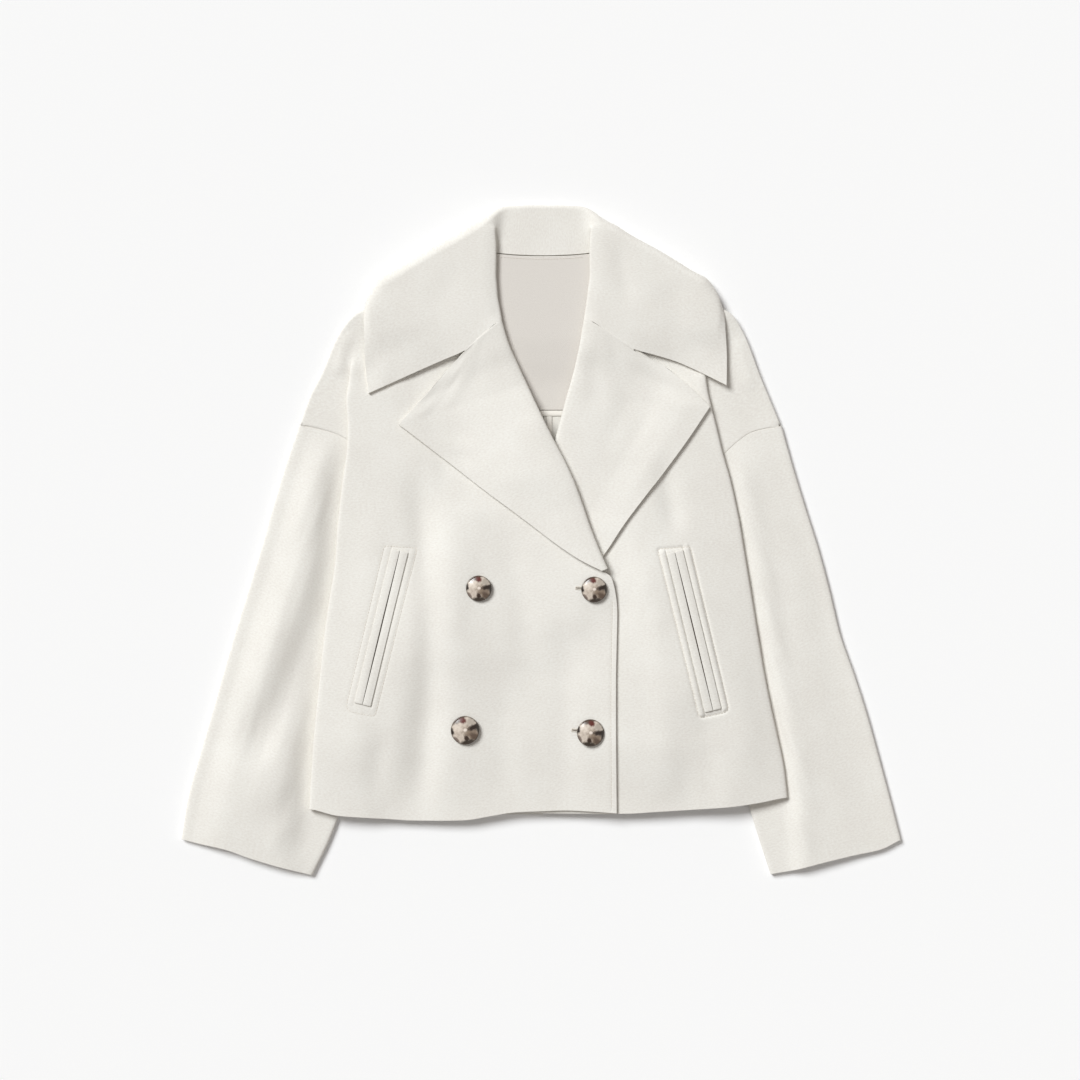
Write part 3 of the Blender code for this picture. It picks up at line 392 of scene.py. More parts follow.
def finePlaces(lengths, sides=(True, True)):        # where the fine grid's lines cut each coarse step
    places = []
    last = len(lengths) - 1
    for step, length in enumerate(lengths):
        count = max(2, int(math.ceil(length / spacing)))
        found = [i / count for i in range(count)]
        if length > edgeRows["longEnough"]:
            if step == 0 and sides[0]:
                found += [away / length for away in edgeRows["away"]]
            if step == last and sides[1]:
                found += [1 - away / length for away in edgeRows["away"]]
        places += [step + share for share in sorted(found)]
    return np.array(places + [len(lengths)])


def refine(rows, corners=(), closed=False):         # a fine grid through rows, sharp only at corner rows
    grid = np.array(rows, float)
    if closed:
        grid = np.concatenate([grid[:, -2:], grid, grid[:, :3]], axis=1)
    across = np.linalg.norm(np.diff(grid, axis=1), axis=2)
    widest = across.max(axis=0)
    if closed:
        widest = widest[2:-2]
    wanted = finePlaces(widest, (not closed, not closed))
    fine = []
    for row, steps in zip(grid, across):
        stations = np.concatenate([[0], np.cumsum(np.maximum(steps, 1e-3))])
        shifted = wanted + (2 if closed else 0)
        fine.append(throughStations(stations, row, np.interp(shifted, np.arange(len(stations)), stations)))
    fine = np.array(fine)
    cuts = [0] + sorted(corners) + [len(rows) - 1]
    down = np.linalg.norm(np.diff(fine, axis=0), axis=2)
    places = finePlaces(down.max(axis=1))
    columns = []
    for column in range(fine.shape[1]):
        line = fine[:, column]
        stations = np.concatenate([[0], np.cumsum(np.maximum(down[:, column], 1e-3))])
        target = np.interp(places, np.arange(len(stations)), stations)
        found = np.zeros((len(places), 3))
        for start, end in zip(cuts, cuts[1:]):
            inside = (places >= start) & (places <= end)
            found[inside] = throughStations(stations[start:end + 1], line[start:end + 1], target[inside])
        columns.append(found)
    return np.swapaxes(np.array(columns), 0, 1)


onTopLeast = 0.99


def pressLines(mesh, relief):                       # finer faces beside the pressed lines, then the relief
    form = bmesh.new()
    form.from_mesh(mesh)
    onTop = form.verts.layers.float["onTop"]
    for _ in range(2):
        centres = np.array([tuple(face.calc_center_median()) for face in form.faces]) / mm
        near = relief["near"](centres[:, 0], centres[:, 1])
        edges = set()
        for face, wanted in zip(form.faces, near):
            if wanted and min(vertex[onTop] for vertex in face.verts) > onTopLeast:
                edges.update(face.edges)
        bmesh.ops.subdivide_edges(form, edges=list(edges), cuts=1, use_grid_fill=True)
    raised = [vertex for vertex in form.verts if vertex[onTop] > onTopLeast]
    places = np.array([tuple(vertex.co) for vertex in raised]) / mm
    for vertex, lift in zip(raised, relief["lift"](places[:, 0], places[:, 1])):
        vertex.co.z += float(lift) * mm
    form.to_mesh(mesh)
    form.free()


edgeSoftness = {"tightShare": 0.12, "tightReach": (3.0, 9.0), "besideShare": 0.45, "segments": 2}


def softenEdges(piece, width, tightLines):          # rounds the cut edges, and less so along tight seams
    form = bmesh.new()
    form.from_mesh(piece.data)
    weight = form.edges.layers.float.new("bevel_weight_edge")
    rim = [edge for edge in form.edges if len({face.material_index for face in edge.link_faces}) == 2]
    middles = np.array([tuple((edge.verts[0].co + edge.verts[1].co) / 2) for edge in rim]) / mm
    shares = np.ones(len(rim))
    for line in tightLines:
        away = lineDistance(line, middles[:, 0], middles[:, 1])[0]
        tight = edgeSoftness["tightShare"]
        shares = np.minimum(shares, tight + (1 - tight) * blend(*edgeSoftness["tightReach"], away))
    onRim = set(rim)
    for edge, share in zip(rim, shares):
        beside = [other.calc_length() / mm for vertex in edge.verts for other in vertex.link_edges
                  if other not in onRim]
        most = edgeSoftness["besideShare"] / width      # a bevel stays clear of the edges beside the rim
        edge[weight] = float(min([share] + [most * length for length in beside]))
    for face in form.faces:
        face.material_index = 0
    form.to_mesh(piece.data)
    form.free()
    piece.data.materials.pop(index=1)               # the slot that told the rim from the faces
    soft = piece.modifiers.new("softEdge", "BEVEL")
    soft.width = width * mm
    soft.segments = edgeSoftness["segments"]
    soft.limit_method = "WEIGHT"
    soft.use_clamp_overlap = False
    bpy.ops.object.modifier_apply(modifier=soft.name)


def linked(name, data):
    made = bpy.data.objects.new(name, data)
    bpy.context.scene.collection.objects.link(made)
    return made


def lengthsAlong(grid, axis):                       # length run along each line of the grid from its first point
    steps = np.linalg.norm(np.diff(grid, axis=axis), axis=2)
    first = np.zeros_like(np.take(steps, [0], axis=axis))
    return np.concatenate([first, np.cumsum(steps, axis=axis)], axis=axis)


def clothMesh(name, grid, closed):                  # the grid's faces, unrolled in metres on the UV map
    wrapped = grid
    if closed:
        grid = grid[:, :-1]
        wrapped = np.concatenate([grid, grid[:, :1]], axis=1)
    height, width = grid.shape[:2]
    u, v = lengthsAlong(wrapped, 1), lengthsAlong(wrapped, 0)
    u -= u[:, u.shape[1] // 3][:, None]             # the weave hangs from a line well inside the piece
    v = np.repeat(v.mean(axis=1, keepdims=True), v.shape[1], axis=1)
    faces, flat = [], []
    for r in range(height - 1):
        for c in range(width if closed else width - 1):
            right = (c + 1) % width
            faces.append((r * width + c, r * width + right, (r + 1) * width + right, (r + 1) * width + c))
            for row, column in ((r, c), (r, c + 1), (r + 1, c + 1), (r + 1, c)):
                flat += [u[row, column] * mm, v[row, column] * mm]
    mesh = bpy.data.meshes.new(name)
    mesh.from_pydata([tuple(p * mm) for p in grid.reshape(-1, 3)], [], faces)
    mesh.uv_layers.new(name="clothLengths").data.foreach_set("uv", flat)
    return mesh


def clothShell(name, grid, wall, look, closed=False, edgeRound=0.8, tightLines=(), relief=None):
    mesh = clothMesh(name, grid, closed)
    if relief:
        mesh.attributes.new("onTop", "FLOAT", "POINT").data.foreach_set("value", relief["onTop"].reshape(-1))
        pressLines(mesh, relief)
        mesh.attributes.remove(mesh.attributes["onTop"])
    mesh.shade_smooth()
    mesh.materials.append(look)
    mesh.materials.append(look)                     # a second slot tells the rim from the faces
    piece = linked(name, mesh)
    bpy.ops.object.select_all(action="DESELECT")
    bpy.context.view_layer.objects.active = piece
    piece.select_set(True)
    shell = piece.modifiers.new("wall", "SOLIDIFY")
    shell.thickness = wall * mm
    shell.material_offset_rim = 1
    shell.offset = 0.0
    shell.use_even_offset = False
    bpy.ops.object.modifier_apply(modifier=shell.name)
    softenEdges(piece, edgeRound, tightLines)
    for vertex in piece.data.vertices:              # cloth can't press into what it lies on
        vertex.co.z = max(vertex.co.z, 0.0)
    piece.select_set(False)
    return piece


def easeGrid(grid, centre, reach, passes):          # a stiff corner of the grid relaxes into its neighbours
    away = np.hypot(grid[:, :, 0] - centre[0], grid[:, :, 1] - centre[1]) / reach
    share = (0.5 * (1 - blend(0.4, 1.0, away)))[:, :, None]
    eased = grid.copy()
    for _ in range(passes):
        around = eased.copy()
        around[1:-1, 1:-1] = (eased[:-2, 1:-1] + eased[2:, 1:-1] + eased[1:-1, :-2] + eased[1:-1, 2:]) / 4
        for column in (0, -1):
            around[1:-1, column] = (eased[:-2, column] + eased[2:, column]) / 2
        eased += (around - eased) * share
    return eased


def evenPoints(line, count):                        # count points at even lengths along a line in space
    lengths = np.concatenate([[0], np.cumsum(np.linalg.norm(np.diff(line, axis=0), axis=1))])
    wanted = np.linspace(0, lengths[-1], count)
    return np.stack([np.interp(wanted, lengths, line[:, axis]) for axis in range(3)], axis=1)


def gridArea(grid):                                 # square metres of the middle of the cloth
    across, down = np.diff(grid, axis=1)[:-1], np.diff(grid, axis=0)[:, :-1]
    return float(np.linalg.norm(np.cross(across, down), axis=2).sum()) * mm * mm


# Rows of each cloth piece, from the neck down

counts = {"top": 12, "flap": 2, "under": 3, "bend": 3, "curl": 2}
shoulderBases = (290.0, 272.0, 252.0, 231.0, 210.0, 189.0)
shoulderPoint = (           # y on the shoulder line, bow, y on the front's cut edge, y at the back's seam
    (222.0, 0.75, 186.0, 184.0),
    (207.0, 0.45, 182.0, 178.0),
    (191.0, 0.15, 179.0, 171.0),
)
armholeSteps = 16
seamLevel = layers["bed"] + curl["radius"] * (1 + math.cos(math.radians(curl["angle"])))


def spread(start, end, steps, level, first=0, last=None):   # even steps on a level or on a surface
    row = []
    for step in range(first, steps if last is None else last):
        plan = start + (end - start) * step / steps
        row.append((plan[0], plan[1], level(plan[0], plan[1]) if callable(level) else level))
    return row


def returnWidth(side, y):           # of the cloth that turns in under a roll line
    endY = coat[side]["roll"][-1][1]
    return float(neck["returnEnd"] * blend(endY - 3, endY + 2, y)
                 + (neck["standReturn"] - neck["returnEnd"]) * blend(endY, endY + 60, y))


def frontInner(side, y):            # a front's inner cut edge
    line = coat[side]["roll"] + coat[side]["edge"][1:]
    slope = (xAt(line, y + 5) - xAt(line, y - 5)) / 10
    return np.array((xAt(line, y) + side * returnWidth(side, y) * math.sqrt(1 + slope ** 2), y))


def topZone(side, inner, foldBase, bow):        # the top layer, as far as its fold over the side
    hem = coat[side]["hem"]
    row = []
    for step in range(counts["top"]):
        share = step / counts["top"]
        plan = inner + (foldBase - inner) * share
        straight = hem[0] + (hem[-1] - hem[0]) * share
        plan[1] += bow * (yAt(hem, straight[0]) - straight[1])
        row.append((plan[0], plan[1], levelOf(side, plan[0], plan[1])))
    return row


shoulderCrease = {"width": 14.0, "mostShare": 0.2}


def shoulderRow(side, inner, outer, outward, creaseShare, bow):
    last = outer - outward * curl["radius"]
    width = last[0] - inner[0]
    creaseSteps = 2 * counts["bend"] + counts["flap"]
    step = min(shoulderCrease["width"] / abs(width), shoulderCrease["mostShare"])
    rest = 1 - creaseShare - step
    shares = [creaseShare * number / counts["top"] for number in range(counts["top"])]
    shares += [creaseShare + step * number / creaseSteps for number in range(creaseSteps)]
    shares += [creaseShare + step + rest * number / counts["under"] for number in range(counts["under"])]
    row = []
    for share in shares:
        x = inner[0] + width * share
        y = bowedY(x, inner, last, bow)
        low, high = backLevel(x, y) + layers["step"], levelOf(side, x, y)
        row.append((x, y, high + (low - high) * blend(0, step, share - creaseShare)))
    low = backLevel(last[0], last[1]) + layers["step"]
    return row + arc(last, outward, low - curl["radius"], curl["radius"], 0, curl["angle"], counts["curl"])


def pleatRow(side, inner, fold, foldOut, innerFold, foldIn, outer, outward, curled):
    bend = (layers["side"] - layers["flap"]) / 2
    under = (layers["flap"] - layers["bed"] - layers["step"]) / 2
    low = layers["flap"] - 2 * under
    foldBase = fold - foldOut * bend
    row = topZone(side, inner, foldBase, 0.0)
    row += arc(foldBase, foldOut, layers["side"] - bend, bend, 0, 180, counts["bend"])
    flapBase = innerFold - foldIn * under
    row += spread(foldBase, flapBase, counts["flap"], layers["flap"], 1)
    row += arc(flapBase, foldIn, layers["flap"] - under, under, 0, 180, counts["bend"])
    last = outer - outward * curl["radius"] * curled
    row += spread(flapBase, last, counts["under"], low, 1)
    if curled:
        return row + arc(last, outward, low - curl["radius"], curl["radius"], 0, curl["angle"], counts["curl"])
    for step in range(counts["curl"] + 1):
        plan = last + (flapBase - last) * 0.1 * (counts["curl"] - step) / counts["curl"]
        row.append((plan[0], plan[1], low))
    return row


def lowerRow(side, inner, fold, foldOut, seam, seamIn, bow):
    bend = (layers["side"] - layers["flap"]) / 2
    foldBase = fold - foldOut * bend
    row = topZone(side, inner, foldBase, bow)
    row += arc(foldBase, foldOut, layers["side"] - bend, bend, 0, 180, counts["bend"])
    flapBase = seam - seamIn * curl["radius"]
    row += spread(foldBase, flapBase, counts["flap"], layers["flap"], 1)
    turn = layers["flap"] - curl["radius"]
    row += arc(flapBase, seamIn, turn, curl["radius"], 0, 90, counts["bend"])
    steps = counts["under"] + counts["curl"]
    return row + [(seam[0], seam[1], turn - (turn - seamLevel) * step / steps)
                  for step in range(1, steps + 1)]


front = {"curledSteps": 2, "lowerSteps": 9, "firstLower": 0.03, "foldStart": 0.06, "underarmIn": (4.0, 2.0),
         "besideLapelEnd": (2.0, -7.0)}


def frontRows(side):
    part = coat[side]
    apex, underarm = part["fold"][0], part["underarm"]
    pleatSteps = front["curledSteps"] + armholeSteps
    start = frontInner(side, apex[1])[0]
    creaseShare = (apex[0] - start) / (part["shoulder"][-1][0] - start)
    stations = [(base + neckBow(frontInner(side, base)[0]), 1.0, meet(part["shoulder"], base))
                for base in shoulderBases]
    stations += [(frontY, bow, meet(part["shoulder"], shoulderY, 0.0))
                 for shoulderY, bow, frontY, _ in shoulderPoint]
    rows = []
    for y, bow, share in stations:
        outer, outward = along(part["shoulder"], share), sideways(part["shoulder"], share, side)
        rows.append(shoulderRow(side, frontInner(side, y), outer, outward, creaseShare, bow))
    for step in range(pleatSteps + 1):
        share = step / pleatSteps
        y = apex[1] + (underarm[1] - apex[1]) * share
        innerFold = apex + (underarm - apex) * (front["foldStart"] + (1 - front["foldStart"]) * share)
        curled = step <= front["curledSteps"]
        if curled:
            line, place = part["shoulderEnd"], step / front["curledSteps"]
        else:
            line, place = part["armhole"], (step - front["curledSteps"]) / armholeSteps
        outer = along(line, place)
        outward = sideways(line, place, side) if curled else np.zeros(2)
        if step == pleatSteps:
            outer = underarm + np.array(front["underarmIn"]) * (side, 1)
        fold, foldOut = along(part["fold"], share), sideways(part["fold"], share, side)
        foldIn = sideways([apex, underarm], 0.5, -side)
        rows.append(pleatRow(side, frontInner(side, y), fold, foldOut, innerFold, foldIn, outer, outward,
                             curled))
    seamLine = [underarm, part["sideHem"]]
    drop = part["hem"][0][1] - underarm[1]
    lapelEnd = part["roll"][-1][1]
    atLapelEnd = [(lapelEnd + beside - underarm[1]) / drop for beside in front["besideLapelEnd"]]
    even = [step / front["lowerSteps"] for step in range(1, front["lowerSteps"] + 1)]
    spaced = [share for share in even if min(abs(share - end) for end in atLapelEnd) > front["firstLower"]]
    for share in sorted([front["firstLower"]] + atLapelEnd + spaced):
        fold, foldOut = along(part["foldLow"], share), sideways(part["foldLow"], share, side)
        seam, seamIn = along(seamLine, share), sideways(seamLine, 0.5, -side)
        inner = frontInner(side, underarm[1] + drop * share)
        rows.append(lowerRow(side, inner, fold, foldOut, seam, seamIn, share ** 4))
    return rows, (len(stations) + front["curledSteps"], len(stations) + pleatSteps)


back = {"columns": 6, "seamSteps": 6, "curlSteps": 2,
        "shoulderEnd": ((0.0, 165.0), (0.5, 148.0), (1.0, 130.0))}      # place on the shoulder's end, y at the seam


def backRows(side):
    part = coat[side]
    centre = centreX + side * cloth["seamGap"] / 2
    seam = [part["underarm"], part["sideHem"]]
    above = [(base, 1.0, meet(part["shoulder"], base))
             for base in (neck["seamY"] - cloth["seamGap"],) + shoulderBases[1:]]
    above += [(backY, bow, meet(part["shoulder"], shoulderY, 0.0))
              for shoulderY, bow, _, backY in shoulderPoint]
    stations = [(y, bow, along(part["shoulder"], share), sideways(part["shoulder"], share, side))
                for y, bow, share in above]
    for share, y in back["shoulderEnd"]:
        line = part["shoulderEnd"]
        stations.append((y, 0.0, along(line, share), sideways(line, share, side)))
    cornerTop, cornerY = len(stations) - 1, back["shoulderEnd"][-1][1]
    for step in range(1, armholeSteps):
        share = step / armholeSteps
        stations.append((cornerY + (seam[0][1] - cornerY) * share, 0.0, along(part["armhole"], share), None))
    for step in range(back["seamSteps"] + 1):
        y = seam[0][1] + (seam[1][1] - seam[0][1]) * step / back["seamSteps"]
        place = max(step / back["seamSteps"], 0.01)
        stations.append((y, 0.0, along(seam, place), sideways(seam, 0.5, side)))
    rows = []
    for seamY, bow, outer, outward in stations:
        last = outer if outward is None else outer - outward * curl["radius"]
        row = []
        for step in range(back["columns"] + 1):
            x = centre + (last[0] - centre) * step / back["columns"]
            y = bowedY(x, (centre, seamY), last, bow)
            row.append((x, y, float(backLevel(x, y))))
        level = row[-1][2]
        if outward is None:
            row += [(last[0] + side * 0.1 * step, last[1], level) for step in range(1, back["curlSteps"] + 1)]
        else:
            row += arc(last, outward, level + curl["radius"], curl["radius"], 180, 180 - curl["angle"],
                       back["curlSteps"])[1:]
        rows.append(row)
    return rows, (cornerTop, cornerTop + armholeSteps)


sleeveSections = 10


def sleeveRows(side):               # closed rings from the armhole to the cuff, upper layer first
    part = coat[side]
    fold = part["fold"] + part["foldLow"][1:]
    low, high = layers["bed"], layers["bed"] + layers["step"]
    bend = (high - low) / 2
    innerTop, outerTop = part["sleeveInner"][0], part["sleeveOuter"][0]
    cuffIn, cuffOut = part["cuff"][-1], part["cuff"][0]
    cuffFrom, cuffTo, cuffShare = sleeveSwell["cuff"]
    rows = []
    for station in range(sleeveSections + 1):
        share = station / sleeveSections
        inner, outer = along(part["sleeveInner"], share), along(part["sleeveOuter"], share)
        across = (outer - inner) / np.linalg.norm(outer - inner)
        gap = np.array((across[1], -across[0])) * side * cloth["armholeGap"] if station == 0 else np.zeros(2)
        upper, lower = [], []
        for step in range(armholeSteps + 1):
            place = step / armholeSteps
            plan = inner + (outer - inner) * place
            head = along(part["armhole"], 1 - place) + (innerTop - part["armhole"][-1]) * (1 - place) ** 4
            cap = head - innerTop - (outerTop - innerTop) * place
            end = along(part["cuff"], 1 - place) - (cuffIn + (cuffOut - cuffIn) * place)
            plan = plan + cap * (1 - share) ** 2 + end * share ** 3 + gap + across * bend * (1 - 2 * place)
            free = side * (plan[0] - xAt(fold, plan[1]))
            edge = np.linalg.norm(outer - inner) * (1 - place)
            freeShare = blend(*sleeveSwell["fromFold"][side], free)
            freeShare = freeShare * blend(*sleeveSwell["fromEdge"][side], edge)
            soft = sleeveSwell["height"] + foldsLift(sleeveFolds[side], plan[0], plan[1])
            swell = soft * freeShare * blend(0.0, sleeveSwell["headShare"], share)
            swell = swell * (1 - cuffShare * blend(cuffFrom, cuffTo, share))
            upper.append((plan[0], plan[1], float(high + swell)))
            lower.append((plan[0], plan[1], low))
        row = upper[:-1]
        row += arc(np.array(upper[-1][:2]), across, low + bend, bend, 0, 180, counts["bend"])
        row += list(reversed(lower))[1:-1]
        row += arc(np.array(upper[0][:2]), -across, low + bend, bend, 180, 0, counts["bend"])[:-1]
        rows.append(row)
    return rows


lapel = {"sections": 12, "topShare": 0.25, "tipPlace": 0.995, "rollPlace": 0.992, "leastWidth": 3.0,
         "columns": 7, "belowGorge": 4.0, "leastReturn": 0.6}


def rollSection(side, share):       # a lapel's return and its bend at the roll line, from the bottom up
    part = coat[side]
    highest = part["gorge"][1] - lapel["belowGorge"]
    roll = [part["gorge"]] + [point for point in part["roll"] if point[1] < highest]
    start = along(roll, lapel["rollPlace"] * share)
    inward = sideways(roll, share, -side)
    level = levelOf(side, start[0], start[1])
    bend = (turnedLevel(side, start[0], start[1]) - level) / 2
    base = start - inward * bend
    width = neck["standReturn"]
    for _ in range(4):                              # the return's width is read where it ends
        cut = start - inward * width
        width = max(returnWidth(side, cut[1]) - cloth["turnGap"], bend + lapel["leastReturn"])
    row = spread(start - inward * width, base, 2, lambda x, y: levelOf(side, x, y))
    return row + arc(base, inward, level + bend, bend, 180, 0, counts["bend"]), base, inward


def lapelRows(side):
    part, topShare = coat[side], lapel["topShare"]
    rows = []
    for section in range(lapel["sections"] + 1):
        share = section / lapel["sections"]
        if share < topShare:
            tip = along(part["lapelTop"], share / topShare)
        else:
            tip = along(part["lapelLow"], lapel["tipPlace"] * (share - topShare) / (1 - topShare))
        row, base, inward = rollSection(side, share)
        if np.dot(tip - base, -inward) < lapel["leastWidth"]:
            tip = base - inward * lapel["leastWidth"]
        rows.append(row + spread(base, tip, lapel["columns"], lambda x, y: turnedLevel(side, x, y),
                                 1, lapel["columns"] + 1))
    return rows, (int(lapel["sections"] * topShare),)


collar = {
    "back": ((2.0, 2.0, 2.0), (24.0, 26.0, 38.0), (44.0, 50.0, 80.0)),      # fold x, seam x, edge x
    "side": (                                       # seam y, fold y, ridge x, ridge y, edge x
        (301.0, 325.0, 64.0, 332.5, 108.0),
        (288.0, 306.0, 92.0, 314.0, 130.0),
        (278.0, 290.0, 122.0, 297.5, 148.0),
        (267.0, 274.0, 152.0, 279.0, 165.0),
        (257.0, 260.0, 184.5, 256.0, 182.0),
    ),
    "end": (                                        # seam y, fold y, share of the leaf's outer edge to its tip
        (251.0, 251.0, 0.0),
        (243.0, 243.0, 0.33),
        (236.0, 236.0, 0.67),
    ),
    "corner": np.array((193.0, 243.0)),             # where the leaf's outer edge leaves the shoulder
    "cornerCurl": (7.0, 5.0),                       # there the edge still turns under: inwards and down
    "foldTop": 345.0,
    "ridgeNormal": np.array((0.57, 0.82)),
    "standSteps": 2, "leafSteps": 6, "fallSteps": 4, "ridgeSteps": 4, "leafShare": 0.93, "notchStep": 2,
    "gorgeGap": 0.14,
}


def mirrored(point, side):
    return np.array((centreX + side * (point[0] - centreX), point[1]))


def collarBackRow(side, foldX, seamX, edgeX):
    seam = mirrored((seamX, neck["seamY"] + cloth["seamGap"] + neckBow(seamX)), side)
    edge = mirrored((edgeX, neck["fallY"] + neckBow(edgeX)), side)
    high = layers["bed"] + layers["fallLift"]
    bend = (high - layers["fallBed"]) / 2
    base = mirrored((foldX, collar["foldTop"]), side) - np.array((0, bend))
    row = spread(seam, base, collar["standSteps"] + counts["bend"] + collar["leafSteps"], high)
    row += arc(base, np.array((0, 1.0)), layers["fallBed"] + bend, bend, 0, 180, collar["ridgeSteps"])
    return row + spread(base, edge, collar["fallSteps"], layers["fallBed"], 1, collar["fallSteps"] + 1)


def rollPart(side, seam, fold, level):
    bend = (layers["collar"] - level) / 2
    inward = np.array((-side * 1.0, 0.0))
    base = fold - inward * bend
    row = spread(seam, base, collar["standSteps"], level)
    return row + arc(base, inward, level + bend, bend, 180, 0, counts["bend"]), base


def collarSeam(side, seamY, foldY):
    seam = frontInner(side, seamY) - np.array((side * cloth["turnGap"], 0.0))
    return seam, np.array((xAt(coat[side]["roll"], foldY), foldY))


def collarSideRow(side, seamY, foldY, ridgeX, ridgeY, edgeX):
    seam, fold = collarSeam(side, seamY, foldY)
    edge = mirrored((edgeX, neck["fallY"] + neckBow(edgeX)), side)
    outward = collar["ridgeNormal"] * (side, 1)
    row, base = rollPart(side, seam, fold, levelOf(side, seam[0], seam[1]))
    bend = (layers["collar"] - layers["fallBed"]) / 2
    ridgeBase = mirrored((ridgeX, ridgeY), side) - outward * bend
    row += spread(base, ridgeBase, collar["leafSteps"], layers["collar"], 1)
    row += arc(ridgeBase, outward, layers["fallBed"] + bend, bend, 0, 180, collar["ridgeSteps"])
    return row + spread(ridgeBase, edge, collar["fallSteps"], layers["fallBed"], 1, collar["fallSteps"] + 1)


def endShares():                    # the grid's columns across the part that lies on the fronts
    rest = collar["ridgeSteps"] + collar["fallSteps"]
    inner = [collar["leafShare"] * step / collar["leafSteps"] for step in range(1, collar["leafSteps"])]
    return inner + [collar["leafShare"] + (1 - collar["leafShare"]) * step / rest for step in range(rest + 1)]


def collarEndRow(side, seamY, foldY, edgeShare):
    seam, fold = collarSeam(side, seamY, foldY)
    corner, tip = mirrored(collar["corner"], side), coat[side]["leafLow"][-1]
    edge = corner + (tip - corner) * edgeShare
    row, base = rollPart(side, seam, fold, levelOf(side, seam[0], seam[1]))
    curled = (1 - min(edgeShare / collar["end"][-1][2], 1.0)) ** 1.5
    for share in endShares():
        plan = base + (edge - base) * share
        over = max(share - collar["leafShare"], 0.0) / (1 - collar["leafShare"])
        level = leafLevel(side, plan[0], plan[1]) - collar["cornerCurl"][1] * over * curled
        row.append((plan[0] - side * collar["cornerCurl"][0] * over ** 2 * curled, plan[1], level))
    return row


def collarLastRow(side):            # the gorge seam down to the notch, then the free edge to the tip
    section, base, _ = rollSection(side, 0.0)
    row = [(x, y + collar["gorgeGap"], z) for x, y, z in section]
    base = base + (0.0, collar["gorgeGap"])
    notch = coat[side]["leafLow"][0]
    shares = endShares()
    notchShare = shares[collar["notchStep"] - 1]
    for share in shares:
        if share <= notchShare:
            plan = base + (notch - base) * share / notchShare
        else:
            plan = along(coat[side]["leafLow"], (share - notchShare) / (1 - notchShare))
        row.append((plan[0], plan[1], leafLevel(side, plan[0], plan[1])))
    return row


def collarRows():
    halves = []
    for side in (-1, 1):
        rows = [collarBackRow(side, *numbers) for numbers in collar["back"]]
        rows += [collarSideRow(side, *numbers) for numbers in collar["side"]]
        rows += [collarEndRow(side, *numbers) for numbers in collar["end"]]
        halves.append(rows + [collarLastRow(side)])
    return list(reversed(halves[0])) + halves[1][1:]


# Materials

def colour(hexValue):                               # sRGB hex to linear
    found = []
    for start in (1, 3, 5):
        value = int(hexValue[start:start + 2], 16) / 255
        found.append(value / 12.92 if value <= 0.04045 else ((value + 0.055) / 1.055) ** 2.4)
    return (*found, 1.0)


def addNode(tree, kind, settings=None, links=None, stops=()):
    node = tree.nodes.new(kind)
    for key, value in (settings or {}).items():     # a lower case name is the node's own, others are sockets
        if isinstance(key, str) and key.islower():
            setattr(node, key, value)
        else:
            node.inputs[key].default_value = value
    for key, source in (links or {}).items():
        tree.links.new(source, node.inputs[key])
    if stops:                                       # places and colours of a colour ramp
        elements = node.color_ramp.elements
        while len(elements) < len(stops):
            elements.new(0.5)
        for element, (place, value) in zip(elements, stops):
            element.position = place
            element.color = colour(value)
    return node


def newMaterial(name, roughness, sheen=0.0, sheenRoughness=0.5, specular=0.3, clearCoat=0.0):
    made = bpy.data.materials.new(name)
    made.use_nodes = True
    shader = made.node_tree.nodes["Principled BSDF"]
    values = {"Roughness": roughness, "Sheen Weight": sheen, "Sheen Roughness": sheenRoughness,
              "Specular IOR Level": specular, "Coat Weight": clearCoat}
    for socket, value in values.items():
        shader.inputs[socket].default_value = value
    return made, made.node_tree, shader


def finishMaterial(tree, shader, tone, height, strength, distance):     # its colour and its bump
    tree.links.new(tone, shader.inputs["Base Color"])
    bump = addNode(tree, "ShaderNodeBump", {"Strength": strength, "Distance": distance}, {"Height": height})
    tree.links.new(bump.outputs["Normal"], shader.inputs["Normal"])


